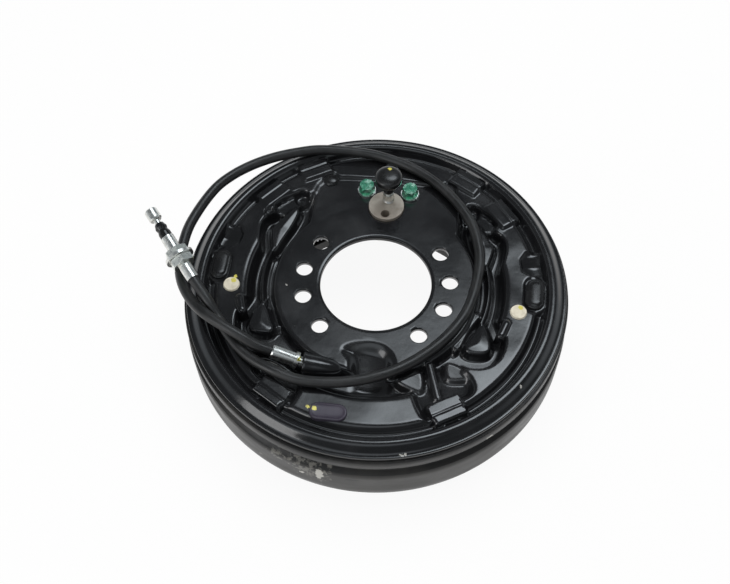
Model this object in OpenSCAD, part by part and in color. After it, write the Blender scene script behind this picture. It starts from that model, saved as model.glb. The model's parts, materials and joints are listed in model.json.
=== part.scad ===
// Drum brake for one wheel, lying on its drum with the pressed backing plate on top.
// The wheel axis is Z, the drum's outer face is on the ground and the wheel cylinder is toward +Y.
// Inside are two shoes on a floating adjuster, an anchor post, a wheel cylinder and a parking lever.

/* [Drum] */
// Radius of the friction face inside the drum
drum_in_r = 157; // [155:0.5:159]
// Thickness of the drum wall
drum_wall = 17; // [15:0.5:19]
// Height of the drum
drum_h = 86; // [82:0.5:92]
// Thickness of the drum's web
web_t = 12; // [9:0.5:14]
// Radius of the centre opening in the drum's web
web_bore_r = 115; // [112:0.5:118]
// Radius of a wheel stud hole
stud_r = 8.5; // [7:0.25:10]
// Diameter of the circle of wheel stud holes
stud_pcd = 264; // [258:1:270]

/* [Backing plate] */
// Radius of the centre bore
bore_r = 50; // [46:0.5:53]
// Radius of the axle bolt holes
bolt_r = 7.5; // [6:0.25:8.5]
// Diameter of the circle of axle bolt holes
bolt_pcd = 133; // [130:0.5:138]
// Radius of the flat centre disc
disc_r = 89; // [87:0.5:90]
// Depth of the trough round the centre disc
trough_d = 10; // [8:0.5:12]
// Height of the shoe track above the disc
track_h = 2; // [1:0.25:2.5]
// Height of the rim bead above the disc
crest_h = 5.2; // [4.4:0.2:6.4]
// Sheet thickness of the pressed plate
sheet_t = 4.5; // [3.5:0.25:5.5]
// Gap between the plate's brim and the drum's lip
lip_gap = 1.2; // [0.8:0.1:2]

/* [Shoes] */
// Running gap between lining and drum
lining_gap = 1; // [0.8:0.1:1.3]
// Thickness of the friction lining
lining_t = 6; // [4:0.5:7]
// Half angle of the lining arc
lining_arc = 57; // [50:1:58]
// Thickness of the shoe web
web_w = 6; // [4:0.5:6.5]

/* [Wheel cylinder] */
// Outside radius of the cylinder
cyl_r = 16; // [15:0.5:16.5]
// Radius of the piston bore
piston_bore_r = 12.75; // [10:0.25:13]
// Radius of the machined boss in the plate
boss_r = 16.5; // [15:0.5:17]
// Radius of the threaded inlet port
inlet_r = 4.25; // [3.5:0.25:4.75]
// Radius of the bleeder cap's domed head
cap_r = 12.5; // [10:0.5:12.5]

/* [Parking cable] */
// Diameter of the cable sheath
sheath_d = 9.5; // [8:0.25:9.5]
// Angle at which the inner wire dips into the plate
wire_dip = 20; // [19:0.5:21]
// Width across the flats of the lock nuts
nut_af = 19; // [17:0.5:20]
// Outside radius of the flat washers
washer_r = 13; // [11:0.5:14]

/* [Hidden] */

$fn = 64;
rim_t = 3.6;
rim_drop = 1.2;
plate_z = drum_h + lip_gap + rim_drop + rim_t;
mid_z = plate_z - 40;
dr = drum_in_r - 157;
floor_z = -trough_d;
under_z = -trough_d - sheet_t;
table_r = drum_in_r - lining_gap - lining_t;
cyl_y = 102;
boss_at = [0, 85];
inlet_at = [0, 75.2];
bleed_at = [1.2, 92.2];
cyl_bolt_at = [20.5, 102.5];
anchor_at = [0, 130];
eye_at = [48, -122];
pin_at = [128, -18.3];
lever_at = [84, 97];
ferrule_at = [-58, -87, 0];
wire_turn = -6;
end_at = [-156.1, -31.6, 26];
end_rise = 12.2;
end_turn = 130.8;
wire_r = 1.5;
barrel_r = 3.2;
barrel_at = [56, -87 - 114 * tan(6)];
bolt_angles = [55.7, 83.5, 108.9, 139.2];
paint = [0.10, 0.10, 0.11];
iron = [0.17, 0.17, 0.18];
zinc = [0.80, 0.80, 0.78];
green_zinc = [0.55, 0.60, 0.45];
steel = [0.55, 0.56, 0.58];
rubber = [0.07, 0.07, 0.08];
cream = [0.85, 0.82, 0.72];

// Outline of the keyhole flat that carries the wheel cylinder
tower = [[-71, 40], [71, 40], [71, 100], [62, 112], [45, 117], [-45, 117], [-62, 112], [-71, 100]];
// Feet pressed up beside the centre disc on the left
foot_low = [[-99, -30], [-108, -52], [-103, -63.5], [-80, -62], [-90, -42], [-96.5, -30]];
foot_high = [[-95, 24], [-91, 38], [-83.5, 57], [-79.5, 73.5], [-85.5, 77.5], [-101.5, 55],
             [-104.5, 50], [-98, 24]];
// Moats pressed down round the feet
moat_low = [[-100, -20], [-110, -26], [-117, -46], [-114, -64], [-104, -75], [-86, -76],
            [-80, -66], [-88, -40]];
moat_high = [[-93, 20], [-85, 40], [-74, 60], [-76, 84], [-86, 82], [-103, 64], [-110, 60],
             [-112.5, 48], [-109, 30], [-101, 18]];
// Recesses beside the two lower pads
recess_right = [[58, -80], [47, -92], [45, -108], [57, -130], [63, -127], [60, -121], [82, -107],
                [92, -100], [88, -88], [72, -78]];
recess_left = [[-50, -104], [-70, -97], [-88, -92], [-92, -100], [-82, -107], [-60, -121],
               [-63, -127], [-57, -130]];
// Dished well beside the cable hood
well = [[-12, -76], [-6, -66], [4, -63], [16, -66], [25, -76], [25, -104], [18, -113], [-6, -113],
        [-12, -106]];
// Pads that the shoe edges slide under, as distance from the wheel axis and angle
pads = [[140, -58.6], [140, 238.6], [141.3, 58.9], [141.3, 121.1], [139, 39], [139, 141]];

// Route of the parking cable's sheath from its ferrule to its end fitting
route = [[-79.75, -84.7, 7.95], [-91.6, -83.5, 12.3], [-105, -79.5, 18], [-121, -73, 21.5],
         [-140, -62.5, 21.5], [-156, -48, 18], [-169, -28.5, 14.2], [-176.3, -7, 11.2],
         [-178, 14, 11.2], [-176, 37, 12], [-162, 79, 12], [-149, 97, 12],
         [-132, 112, 12], [-113, 124, 11.5], [-92, 133, 11], [-71, 139, 10.6],
         [-26, 141, 8.8], [-4, 137, 8.4], [17, 130, 7.8], [37, 119, 7.3], [54, 105, 7.2],
         [69, 88, 7.2], [81, 69, 6.8], [88, 48, 6.2], [91, 26, 5.7],
         [85, -18, 5.6], [76, -39, 5.6], [63, -58, 5.6], [48, -74, 6], [31, -88, 7],
         [11, -99, 8], [-10, -106, 8], [-33, -109.5, 8], [-55, -109, 8], [-77, -103, 9.6],
         [-97, -93, 8.6], [-114, -79, 9], [-129, -61.5, 12.8], [-142.9, -46.2, 21.3],
         [-156, -31.75, 25.95]];

function unit(v) = v / norm(v);
function sum2(p, i = 0) = i >= len(p) ? 0 : cross(p[i], p[(i + 1) % len(p)]) + sum2(p, i + 1);
function ccw(p) = sum2(p) > 0 ? p : [for (i = [len(p) - 1:-1:0]) p[i]];

// Round arc of radius r that replaces corner b of the outline a, b, c
function fillet(a, b, c, r, n) =
    let (u = unit(a - b), v = unit(c - b), h = acos(max(-1, min(1, u * v))) / 2,
         o = b + unit(u + v) * r / sin(h), s = b + u * r / tan(h), e = b + v * r / tan(h),
         a0 = atan2(s[1] - o[1], s[0] - o[0]), w = atan2(e[1] - o[1], e[0] - o[0]) - a0,
         t = w > 180 ? w - 360 : (w < -180 ? w + 360 : w))
    [for (i = [0:n]) o + r * [cos(a0 + t * i / n), sin(a0 + t * i / n)]];

// Points along an arc of radius r about c, from angle a0 to a1
function arc(c, r, a0, a1, n) =
    [for (i = [0:n]) c + r * [cos(a0 + (a1 - a0) * i / n), sin(a0 + (a1 - a0) * i / n)]];

// Outline with every corner rounded
function rounded(p, r, n = 3) =
    [for (i = [0:len(p) - 1]) each fillet(p[(i + len(p) - 1) % len(p)], p[i], p[(i + 1) % len(p)], r, n)];

// Outline moved outward by d, or inward when d is negative
function grow(q, d) =
    let (p = ccw(q), m = len(p))
    [for (i = [0:m - 1])
        let (e = unit(p[i] - p[(i + m - 1) % m]), f = unit(p[(i + 1) % m] - p[i]),
             s = [e[1], -e[0]], t = [f[1], -f[0]])
        p[i] + (s + t) * d / (1 + s * t)];

// Smooth curve through four route points at fraction t of the middle stretch
function smooth(a, b, c, d, t) =
    0.5 * (2 * b + (c - a) * t + (2 * a - 5 * b + 4 * c - d) * t * t + (3 * b - a - 3 * c + d) * t * t * t);

function curve(p, k) =
    let (m = len(p))
    [for (i = [0:m - 2], j = [0:k - 1])
        smooth(i == 0 ? 2 * p[0] - p[1] : p[i - 1], p[i], p[i + 1],
               i == m - 2 ? 2 * p[m - 1] - p[m - 2] : p[i + 2], j / k),
     p[m - 1]];

// Tube of radius r along path p, with n sides, whose first side faces the direction refs[i]
module tube(p, refs, r, n) {
    m = len(p);
    pts = [for (i = [0:m - 1])
        let (t = unit(p[min(i + 1, m - 1)] - p[max(i - 1, 0)]), a = unit(refs[i] - (refs[i] * t) * t),
             b = cross(t, a))
        for (j = [0:n - 1]) p[i] + r * (cos(360 * j / n) * a + sin(360 * j / n) * b)];
    sides = [for (i = [0:m - 2], j = [0:n - 1], h = [0, 1])
        let (k = (j + 1) % n)
        h == 0 ? [i * n + j, (i + 1) * n + j, (i + 1) * n + k] : [i * n + j, (i + 1) * n + k, i * n + k]];
    polyhedron(points = pts,
               faces = concat([[for (j = [0:n - 1]) j]], sides,
                              [[for (j = [n - 1:-1:0]) (m - 1) * n + j]]));
}

// Coil spring of radius rc between a and b, with straight legs out to the points in head and tail
module spring(a, b, rc, rw, turns, head = [], tail = [], z_up = [0, 0, 1]) {
    ax = unit(b - a);
    u = unit(z_up - (z_up * ax) * ax);
    v = cross(ax, u);
    n = round(turns * 8);
    coil = [for (i = [0:n]) a + (b - a) * i / n + rc * (cos(45 * i) * u + sin(45 * i) * v)];
    face = [for (i = [0:n]) cos(45 * i) * u + sin(45 * i) * v];
    away = unit(u + 0.35 * v);
    tube(concat(head, coil, tail), concat([for (q = head) away], face, [for (q = tail) away]), rw, 5);
}

module slot(a, b, r, z0, z1) {
    for (p = [a, b]) {
        translate([p[0], p[1], z0]) cylinder(r = r, h = z1 - z0);
    }
    translate([a[0], a[1], z0]) rotate([0, 0, atan2(b[1] - a[1], b[0] - a[0])])
        translate([0, -0.985 * r, 0]) cube([norm(b - a), 1.97 * r, z1 - z0]);
}

module patch(p, z0, z1) {
    translate([0, 0, z0]) linear_extrude(height = z1 - z0) polygon(p);
}

module ring(r0, r1, z0, z1, a0, a1) {
    rotate([0, 0, a0]) rotate_extrude(angle = a1 - a0, $fn = 90)
        polygon([[r0, z0], [r1, z0], [r1, z1], [r0, z1]]);
}

module pair() {
    children();
    mirror([1, 0, 0]) children();
}

module along_x(x) {
    translate([x, 0, 0]) rotate([0, 90, 0]) children();
}

module along_wire() {
    translate(ferrule_at) rotate([0, 90 + wire_dip, wire_turn]) children();
}

module along_end() {
    translate(end_at) rotate([0, 90 - end_rise, end_turn]) children();
}

// Revolved section of the pressed plate, from the bore out to the brim and back underneath
plate_top = [[bore_r, 0], [disc_r, 0], [disc_r + 2.5, -0.9], [disc_r + 4, -3],
             [disc_r + 5.5, floor_z + 1.5], [disc_r + 7, floor_z], [109.5, floor_z],
             [112, floor_z + 2.5], [114.5, -1.5], [116.5, track_h - 0.8], [119, track_h],
             [141.5 + dr, track_h], [144 + dr, track_h - 1.2], [146.5 + dr, -3], [148 + dr, -4],
             [149.8 + dr, -4], [151.3 + dr, -2.5], [153.3 + dr, crest_h - 2.2],
             [155.3 + dr, crest_h - 0.4], [157.5 + dr, crest_h], [160.5 + dr, crest_h - 0.6],
             [163.5 + dr, crest_h - 3.4], [166 + dr, -0.6], [168 + dr, -rim_drop],
             [170 + dr, -rim_drop]];
plate_under = [[170 + dr, -rim_drop - rim_t], [164 + dr, -rim_drop - rim_t], [160.5 + dr, -0.6],
               [157.5 + dr, 0.6], [155.8 + dr, -0.2], [153 + dr, -7], [151.5 + dr, -8.5],
               [146 + dr, -8.5], [143 + dr, -5], [141 + dr, -2.5], [119.5, -2.5], [116.5, -4.5],
               [113, under_z + 2], [111.5, under_z], [bore_r, under_z]];

module outer_zone() {
    rotate_extrude($fn = 90)
        polygon([[111.5, under_z], [151, under_z], [151, -1.6], [114.5, -1.6]]);
}

module plate_sheet() {
    difference() {
        rotate_extrude($fn = 90) polygon(concat(plate_top, plate_under));
        translate([0, 0, under_z - 1]) cylinder(r = disc_r - 3, h = trough_d + sheet_t - 4);
    }
}

// Blocks under the sheet that the pressed hollows are cut into
module plate_tubs() {
    difference() {
        patch(tower, under_z, -0.2);
        translate([0, 0, under_z - 1]) cylinder(r = disc_r - 3.4, h = trough_d + sheet_t - 3);
    }
    intersection() {
        outer_zone();
        pair() {
            patch(grow(moat_low, 4), under_z, 0);
            patch(grow(moat_high, 4), under_z, 0);
            slot([-97, 74], [-81, 88], 11, -12.5, 0);
            translate([141, 36, -8.5]) rotate([0, 0, 14]) translate([-15, -15, 0]) cube([30, 30, 8]);
        }
    }
    intersection() {
        outer_zone();
        union() {
            patch(grow(recess_right, 4), -9.5, 0);
            patch(grow(recess_left, 4), -9.5, 0);
        }
    }
    patch(recess_right, under_z, -5);
    patch(grow(well, 4), -16.5, -10.2);
    intersection() {
        patch(grow(well, 4), -10.3, -1);
        translate([0, 0, -11]) cylinder(r = disc_r, h = 11);
    }
    pair() slot([142, -7], [142, 11], 10.2, -8.5, 0.5);
}

module plate_cuts() {
    difference() {
        patch(tower, 0, 12);
        translate([0, 0, -1]) cylinder(r = 80, h = 14);
    }
    patch(grow(tower, -sheet_t), under_z - 1, -5);
    pair() {
        patch(rounded(moat_low, 3), floor_z, 12);
        patch(rounded(moat_high, 2.5), floor_z, 12);
        slot([-97, 74], [-81, 88], 7, -4, 12);
        translate([-81, 88, -8]) cylinder(r = 6.5, h = 20);
        intersection() {
            translate([141, 36, -4.5]) rotate([0, 0, 14]) translate([-11, -12, 0]) cube([22, 24, 16]);
            translate([0, 0, -5]) cylinder(r = 150 + dr, h = 18);
        }
        slot([142, -7], [142, 11], 10.2, 0.5, 12);
        translate([56, 111, 0]) cylinder(r = 8, h = 12);
    }
    patch(recess_right, -5, 12);
    patch(recess_left, -5, 12);
    patch(rounded(well, 3), -12, 12);
    translate([-109, 67, -1.5]) cylinder(r = 4.2, h = 12);
}

module shoe_pad() {
    rotate([90, 0, 0]) translate([0, 0, -15]) linear_extrude(height = 30)
        polygon([[-10.5, -4.8], [10.5, -4.8], [10.5, 2.8], [9, 4.2], [-0.5, 3.6], [-9, 4.4], [-10.5, 2.8]]);
    translate([5 + dr, -12, -9.7]) cube([8, 24, 6]);
}

module hood_shell() {
    intersection() {
        along_wire() translate([0, 0, 5]) cylinder(h = 39, r1 = 11, r2 = 6.5);
        translate([-70, -125, under_z]) cube([70, 70, 40]);
    }
}

module plate_raised() {
    pair() {
        patch(rounded(ccw(foot_low), 2.5), under_z, -0.5);
        patch(rounded(ccw(foot_high), 1.8), under_z, -0.5);
        slot([-118, -31], [-114, -43], 4.6, -6, 2.9);
        slot([-118, -31], [-114, -43], 3.5, 2.4, 3.8);
        slot([-118, -31], [-114, -43], 2, 3.5, 4.4);
        rotate([0, 0, -20]) rotate_extrude(angle = 38, $fn = 90)
            polygon([[97, under_z], [106.5, under_z], [106.5, floor_z - 0.3], [103.5, -2],
                     [102.5, -0.3], [100.5, -0.3], [99.5, -2], [97, floor_z - 0.3]]);
        ring(93.5, 98.5, under_z, -6, -35, 30);
    }
    for (p = pads) {
        rotate([0, 0, p[1]]) translate([p[0], 0, 0]) shoe_pad();
    }
    translate([54, -74, under_z]) rotate([0, 0, atan2(-38, 12)]) translate([0, -4.5, 0])
        cube([norm([12, -38]), 9, 0.3 - under_z]);
    patch([[25, -97], [40, -104], [52, -100], [48, -84]], under_z, -1);
    patch([[65, -75], [68, -95], [75, -88], [88, -88], [85, -83]], under_z, -1);
    difference() {
        translate([-109, 67, -2]) cylinder(r = 5.6, h = track_h + 2.6);
        translate([-109, 67, -1.5]) cylinder(r = 4, h = track_h + 4);
    }
    hood_shell();
}

module plate_holes() {
    translate([0, 0, under_z - 1]) cylinder(r = bore_r, h = 30);
    for (a = bolt_angles, s = [-1, 1]) {
        rotate([0, 0, 90 + s * a]) translate([bolt_pcd / 2, 0, -20]) cylinder(r = bolt_r, h = 40);
    }
    translate([boss_at[0], boss_at[1], -20]) cylinder(r = boss_r + 0.4, h = 40);
    translate([anchor_at[0], anchor_at[1], -20]) cylinder(r = 6, h = 40);
    pair() {
        translate([cyl_bolt_at[0], cyl_bolt_at[1], -20]) cylinder(r = 4.4, h = 40);
        translate([pin_at[0], pin_at[1], -20]) cylinder(r = 3, h = 40);
        slot([142, -3.5], [142, 8.5], 6, -20, 20);
        translate([56, 111, -20]) cylinder(r = 5, h = 40);
    }
    slot([-33, -133.5], [-15, -133.5], 5.5, -20, 20);
    slot([3, -106], [3, -102], 2.4, -20, 0);
    along_wire() {
        translate([0, 0, -24]) cylinder(h = 24, r = 6.7);
        translate([0, 0, 8]) cylinder(h = 33, r1 = 8, r2 = 3.6);
        translate([0, 0, 4]) cylinder(h = 6, r = 5.1);
        translate([0, 0, 38]) cylinder(h = 30, r = 2.4);
    }
}

module backing_plate() {
    color(paint) translate([0, 0, plate_z]) difference() {
        union() {
            difference() {
                union() {
                    plate_sheet();
                    plate_tubs();
                }
                plate_cuts();
            }
            plate_raised();
        }
        plate_holes();
    }
}

// Ring of the drum, with the rounded heel and the balancing groove near its open edge
module drum() {
    ro = drum_in_r + drum_wall;
    start = acos((30 - drum_wall) / 30);
    heel = [for (i = [0:7]) [ro - 30 + 30 * cos(start * (1 - i / 8)), 34 - 30 * sin(start * (1 - i / 8))]];
    color(iron) rotate_extrude($fn = 96)
        polygon(concat(heel, [[ro, 34], [ro, drum_h - 24], [ro - 5.5, drum_h - 20.5],
                              [ro - 5.5, drum_h - 14], [ro - 1.5, drum_h - 10.5],
                              [ro - 1.5, drum_h - 1.2], [ro - 2.7, drum_h],
                              [drum_in_r + 2, drum_h], [drum_in_r, drum_h - 2]]));
}

// Disc of the drum, cast into the ring, with the holes for the wheel studs
module drum_web() {
    ro = drum_in_r + drum_wall;
    rim = 34 - 30 * sin(acos((30 - drum_wall) / 30));
    color(iron) difference() {
        rotate_extrude($fn = 96)
            polygon([[web_bore_r, 0], [ro - 28, 0], [ro - 24.8, 4.45], [ro - 19.7, 5.8], [drum_in_r, rim],
                     [drum_in_r, web_t + 4], [drum_in_r - 4, web_t], [web_bore_r, web_t]]);
        for (i = [0:5]) {
            rotate([0, 0, 30 + 60 * i]) translate([stud_pcd / 2, 0, -1]) cylinder(r = stud_r, h = web_t + 2);
        }
    }
}

module anchor_post() {
    color(steel) translate([anchor_at[0], anchor_at[1], 0]) {
        translate([0, 0, mid_z - 32]) cylinder(r = 10, h = plate_z - 2.5 - (mid_z - 32));
        translate([0, 0, plate_z - 3]) cylinder(r = 5.9, h = 3 + track_h);
        translate([0, 0, plate_z + track_h]) cylinder(r1 = 6.8, r2 = 4.5, h = 1.8);
    }
}

module cylinder_body() {
    color(iron) difference() {
        union() {
            translate([0, cyl_y, mid_z]) along_x(-40) cylinder(r = cyl_r, h = 80);
            translate([-32, 68, mid_z + 14]) cube([64, 44, 21]);
            translate([boss_at[0], boss_at[1], mid_z + 20]) cylinder(r = boss_r, h = 23);
        }
        translate([0, cyl_y, mid_z]) along_x(-41) cylinder(r = piston_bore_r, h = 82);
        translate([inlet_at[0], inlet_at[1], plate_z - 10]) cylinder(r = inlet_r, h = 20);
        translate([bleed_at[0], bleed_at[1], plate_z - 10]) cylinder(r = 3.55, h = 20);
        pair() translate([cyl_bolt_at[0], cyl_bolt_at[1], mid_z + 18]) cylinder(r = 4.1, h = 20);
    }
}

module piston() {
    translate([0, cyl_y, mid_z]) difference() {
        along_x(14) cylinder(r = piston_bore_r - 0.05, h = 31.7);
        along_x(20) cylinder(r = piston_bore_r - 5, h = 14);
    }
}

module piston_left() {
    color(steel) mirror([1, 0, 0]) piston();
}

module piston_right() {
    color(steel) piston();
}

module piston_cup() {
    translate([0, cyl_y, mid_z]) difference() {
        along_x(9) cylinder(r = piston_bore_r - 0.05, h = 5);
        along_x(8) cylinder(r1 = piston_bore_r - 2, r2 = piston_bore_r - 5, h = 4);
    }
}

module cup_left() {
    color(rubber) mirror([1, 0, 0]) piston_cup();
}

module cup_right() {
    color(rubber) piston_cup();
}

module dust_boots() {
    color(rubber) pair() translate([0, cyl_y, mid_z]) difference() {
        along_x(40) cylinder(r1 = cyl_r - 0.5, r2 = piston_bore_r + 2.5, h = 5.4);
        along_x(39) cylinder(r = piston_bore_r + 0.25, h = 8);
    }
}

module cylinder_spring() {
    color(steel) spring([-10.4, cyl_y, mid_z], [10.4, cyl_y, mid_z], 6.8, 0.9, 6);
}

module hex_head(af, h) {
    cylinder(r = af / 2 / cos(30), h = h, $fn = 6);
}

module cylinder_bolts() {
    color(green_zinc) pair() translate([cyl_bolt_at[0], cyl_bolt_at[1], 0]) {
        translate([0, 0, mid_z + 19]) cylinder(r = 4, h = plate_z + 3 - (mid_z + 19));
        translate([0, 0, plate_z + 2]) cylinder(r = 7.6, h = 1.4);
        translate([0, 0, plate_z + 3.2]) intersection() {
            hex_head(13, 6.6);
            cylinder(r1 = 8.6, r2 = 6.6, h = 6.6);
        }
    }
}

module cylinder_washers() {
    color(zinc) pair() translate([cyl_bolt_at[0], cyl_bolt_at[1], plate_z]) difference() {
        cylinder(r = 8.6, h = 2);
        translate([0, 0, -1]) cylinder(r = 4.3, h = 4);
    }
}

module bleeder_screw() {
    color(zinc) translate([bleed_at[0], bleed_at[1], plate_z]) {
        translate([0, 0, -9.5]) cylinder(r = 3.5, h = 30);
        translate([0, 0, 3.4]) cylinder(r1 = 5.6, r2 = 4.4, h = 2.4);
        translate([0, 0, 5.6]) hex_head(9, 7);
    }
}

module bleeder_cap() {
    color(rubber) translate([bleed_at[0], bleed_at[1], plate_z]) difference() {
        union() {
            translate([0, 0, 16]) cylinder(r = 4.8, h = 2.6);
            translate([0, 0, 18.4]) cylinder(r1 = 4.3, r2 = 5.2, h = 8.6);
            translate([0, 0, 26]) cylinder(r1 = cap_r - 2.5, r2 = cap_r, h = 3.2);
            translate([0, 0, 29.2]) cylinder(r = cap_r, h = 4);
            translate([0, 0, 33.2]) rotate_extrude()
                polygon(concat([[0, 0]], [for (a = [0:10:90]) [2 + (cap_r - 2) * cos(a) - (a == 90 ? 2 : 0),
                                                             5.6 * sin(a)]]));
        }
        translate([0, 0, 15]) cylinder(r = 3.6, h = 6);
    }
}

// Right shoe: rolled table, flat web, top arm to the anchor and eye on the adjuster
module shoe() {
    web_z = mid_z - web_w / 2;
    ring(table_r - 3.5, table_r, mid_z - 32, mid_z + 30, -lining_arc, lining_arc);
    difference() {
        union() {
            ring(118, table_r - 1.5, web_z, web_z + web_w, -62, lining_arc);
            ring(123, 146, web_z, web_z + web_w, 50, 89.4);
            ring(122, 140, web_z, web_z + web_w, -68.5, -60);
            translate([eye_at[0], eye_at[1], web_z]) cylinder(r = 9, h = web_w);
            patch([[46, 96], [66, 90], [72, 112], [46, 108]], web_z, web_z + web_w);
        }
        translate([anchor_at[0], anchor_at[1], web_z - 1]) cylinder(r = 10.3, h = web_w + 2);
        translate([-5, 109, web_z - 1]) cube([53, 13.5, web_w + 2]);
        translate([eye_at[0], eye_at[1], web_z - 1]) cylinder(r = 3.05, h = web_w + 2);
        translate([pin_at[0], pin_at[1], web_z - 1]) cylinder(r = 5, h = web_w + 2);
        for (p = [[104, 72], [75, -105]]) {
            translate([p[0], p[1], web_z - 1]) cylinder(r = 1.4, h = web_w + 2);
        }
        children();
    }
}

module shoe_right() {
    color(iron) shoe() translate([lever_at[0], lever_at[1], 0]) cylinder(r = 5.05, h = 200);
}

module shoe_left() {
    color(iron) mirror([1, 0, 0]) shoe();
}

module lining() {
    difference() {
        ring(table_r, table_r + lining_t, mid_z - 32, mid_z + 30, -lining_arc, lining_arc);
        rotate([0, 0, 0]) translate([table_r + lining_t - 2, -1.5, mid_z - 40]) cube([10, 3, 80]);
    }
}

module lining_right() {
    color([0.35, 0.31, 0.27]) lining();
}

module lining_left() {
    color([0.35, 0.31, 0.27]) mirror([1, 0, 0]) lining();
}

module hold_down_pins() {
    color(cream) pair() translate([pin_at[0], pin_at[1], 0]) {
        translate([0, 0, mid_z - 24]) cylinder(r = 2.5, h = plate_z + track_h + 1 - (mid_z - 24));
        translate([0, 0, plate_z + track_h]) cylinder(r1 = 7.5, r2 = 6.8, h = 1.6);
        translate([0, 0, mid_z - 24]) cylinder(r = 3.6, h = 2);
    }
}

module hold_down_cups() {
    color(zinc) pair() translate([pin_at[0], pin_at[1], mid_z - 22]) difference() {
        cylinder(r = 11, h = 4);
        translate([0, 0, 1.5]) cylinder(r = 9.8, h = 4);
        translate([0, 0, -1]) cylinder(r = 2.6, h = 6);
    }
}

module hold_down_springs() {
    color(steel) pair()
        spring([pin_at[0], pin_at[1], mid_z - 19.5], [pin_at[0], pin_at[1], mid_z - 4.4], 7.5, 0.95, 4,
               z_up = [1, 0, 0]);
}

// Return spring from a loop round the anchor post out to the right web
module return_spring(z) {
    a = [anchor_at[0], anchor_at[1], z];
    far = [104, 72, z];
    d = unit(far - a);
    loop = [for (t = [200:-30:80]) a + 11.6 * [cos(t), sin(t), 0]];
    spring(a + d * 72, a + d * 104, 4.6, 1.1, 8,
           head = concat([a + 11.6 * [cos(240), sin(240), 0]], loop, [a + 12.2 * [cos(40), sin(40), 0],
                  a + d * 30 + [0, 2, 0], a + d * 66]),
           tail = [far - d * 5, far, far + [0, 0, mid_z + 6 - z]]);
}

module return_spring_right() {
    color(steel) return_spring(mid_z - 20.5);
}

module return_spring_left() {
    color(steel) mirror([1, 0, 0]) return_spring(mid_z - 25);
}

module lower_spring() {
    z = mid_z - 24;
    color(steel) spring([-38, -105, z], [38, -105, z], 4.6, 1.1, 12,
                        head = [[-75, -105, mid_z + 6], [-75, -105, z], [-70, -105, z], [-44, -105, z]],
                        tail = [[44, -105, z], [70, -105, z], [75, -105, z], [75, -105, mid_z + 6]]);
}

// Fork that holds a shoe's eye on its pin
module fork() {
    translate([0, eye_at[1], mid_z]) difference() {
        union() {
            translate([36, -8, -9]) cube([21, 16, 18]);
            children();
        }
        translate([38, -10, -web_w / 2 - 0.4]) cube([22, 20, web_w + 0.8]);
    }
    translate([eye_at[0], eye_at[1], mid_z - 10]) cylinder(r = 3, h = 20);
}

module adjuster_fork_right() {
    color(steel) difference() {
        fork() along_x(-14) cylinder(r = 8, h = 51);
        translate([0, eye_at[1], mid_z]) along_x(-15) cylinder(r = 5.05, h = 30);
    }
}

module adjuster_fork_left() {
    color(steel) mirror([1, 0, 0]) difference() {
        fork() along_x(25) cylinder(r = 8, h = 12);
        translate([0, eye_at[1], mid_z]) along_x(24) cylinder(r = 5.05, h = 11);
    }
}

module star_wheel() {
    color(zinc) translate([0, eye_at[1], mid_z]) {
        along_x(-34) cylinder(r = 5, h = 46);
        along_x(-24.4) cylinder(r = 8, h = 9.6);
        along_x(-22.5) linear_extrude(height = 4)
            polygon([for (i = [0:15], k = [0, 1, 2])
                let (a = 22.5 * i + [0, 7, 15][k], r = [11.4, 14, 13.6][k]) [r * cos(a), r * sin(a)]]);
    }
}

// Parking lever, hung from the right shoe on the drum side of its web
module parking_lever() {
    z0 = mid_z - 7.5;
    color(steel) difference() {
        union() {
            patch(concat(arc(lever_at, 11, -20, 200, 12), arc([0, 0], 99, 40, -56, 24),
                         arc(barrel_at, 8, 150, 330, 10), arc([0, 0], 115, -56, 40, 24)), z0, z0 + 4);
        }
        slot([barrel_at[0], barrel_at[1] - 1.2], [barrel_at[0], barrel_at[1] + 1.2], 3.7, z0 - 1, z0 + 5);
        translate([lever_at[0], lever_at[1], z0 - 1]) cylinder(r = 5.05, h = 6);
    }
}

module lever_pin() {
    color(zinc) translate([lever_at[0], lever_at[1], 0]) {
        translate([0, 0, mid_z - 10]) cylinder(r = 5, h = 15);
        translate([0, 0, mid_z - 10]) cylinder(r = 8, h = 2.3);
        translate([0, 0, mid_z + 3]) cylinder(r = 7.5, h = 2);
    }
}

module strut() {
    z0 = mid_z;
    color(zinc) difference() {
        translate([0, 76.5, 0]) union() {
            translate([-94, 0, z0 - 3]) cube([178, 5, 9]);
            translate([-94, 0, z0 - 9]) cube([26, 5, 12]);
            translate([60, 0, z0 - 9.5]) cube([24, 5, 12]);
        }
        translate([-100, 70, z0 - web_w / 2 - 0.2]) cube([15.4, 20, web_w + 0.4]);
        translate([73, 70, z0 - 7.8]) cube([20, 20, 7.8 + web_w / 2 + 0.3]);
    }
}

module inner_wire() {
    color(steel) translate([0, 0, plate_z]) along_wire() translate([0, 0, -4])
        cylinder(r = wire_r, h = 4 + 114 / cos(wire_dip) / cos(wire_turn), $fn = 24);
    color(zinc) translate([barrel_at[0], barrel_at[1], plate_z - 114 / cos(6) * tan(wire_dip) - 14])
        cylinder(r = barrel_r, h = 20);
}

module cable_ferrule() {
    color(zinc) translate([0, 0, plate_z]) along_wire() difference() {
        union() {
            translate([0, 0, -23]) cylinder(r1 = 5.7, r2 = 6.3, h = 1.2);
            translate([0, 0, -21.8]) cylinder(r = 6.3, h = 20);
            translate([0, 0, -2]) cylinder(r = 7.7, h = 3);
            translate([0, 0, 0.5]) cylinder(r = 4.9, h = 11);
        }
        translate([0, 0, -20.5]) cylinder(r = 2.2, h = 42);
    }
}

module cable_sheath() {
    path = curve([for (p = route) p + [0, 0, plate_z]], 2);
    color(rubber) tube(path, [for (p = path) [0, 0, 1]], sheath_d / 2, 10);
}

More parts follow.
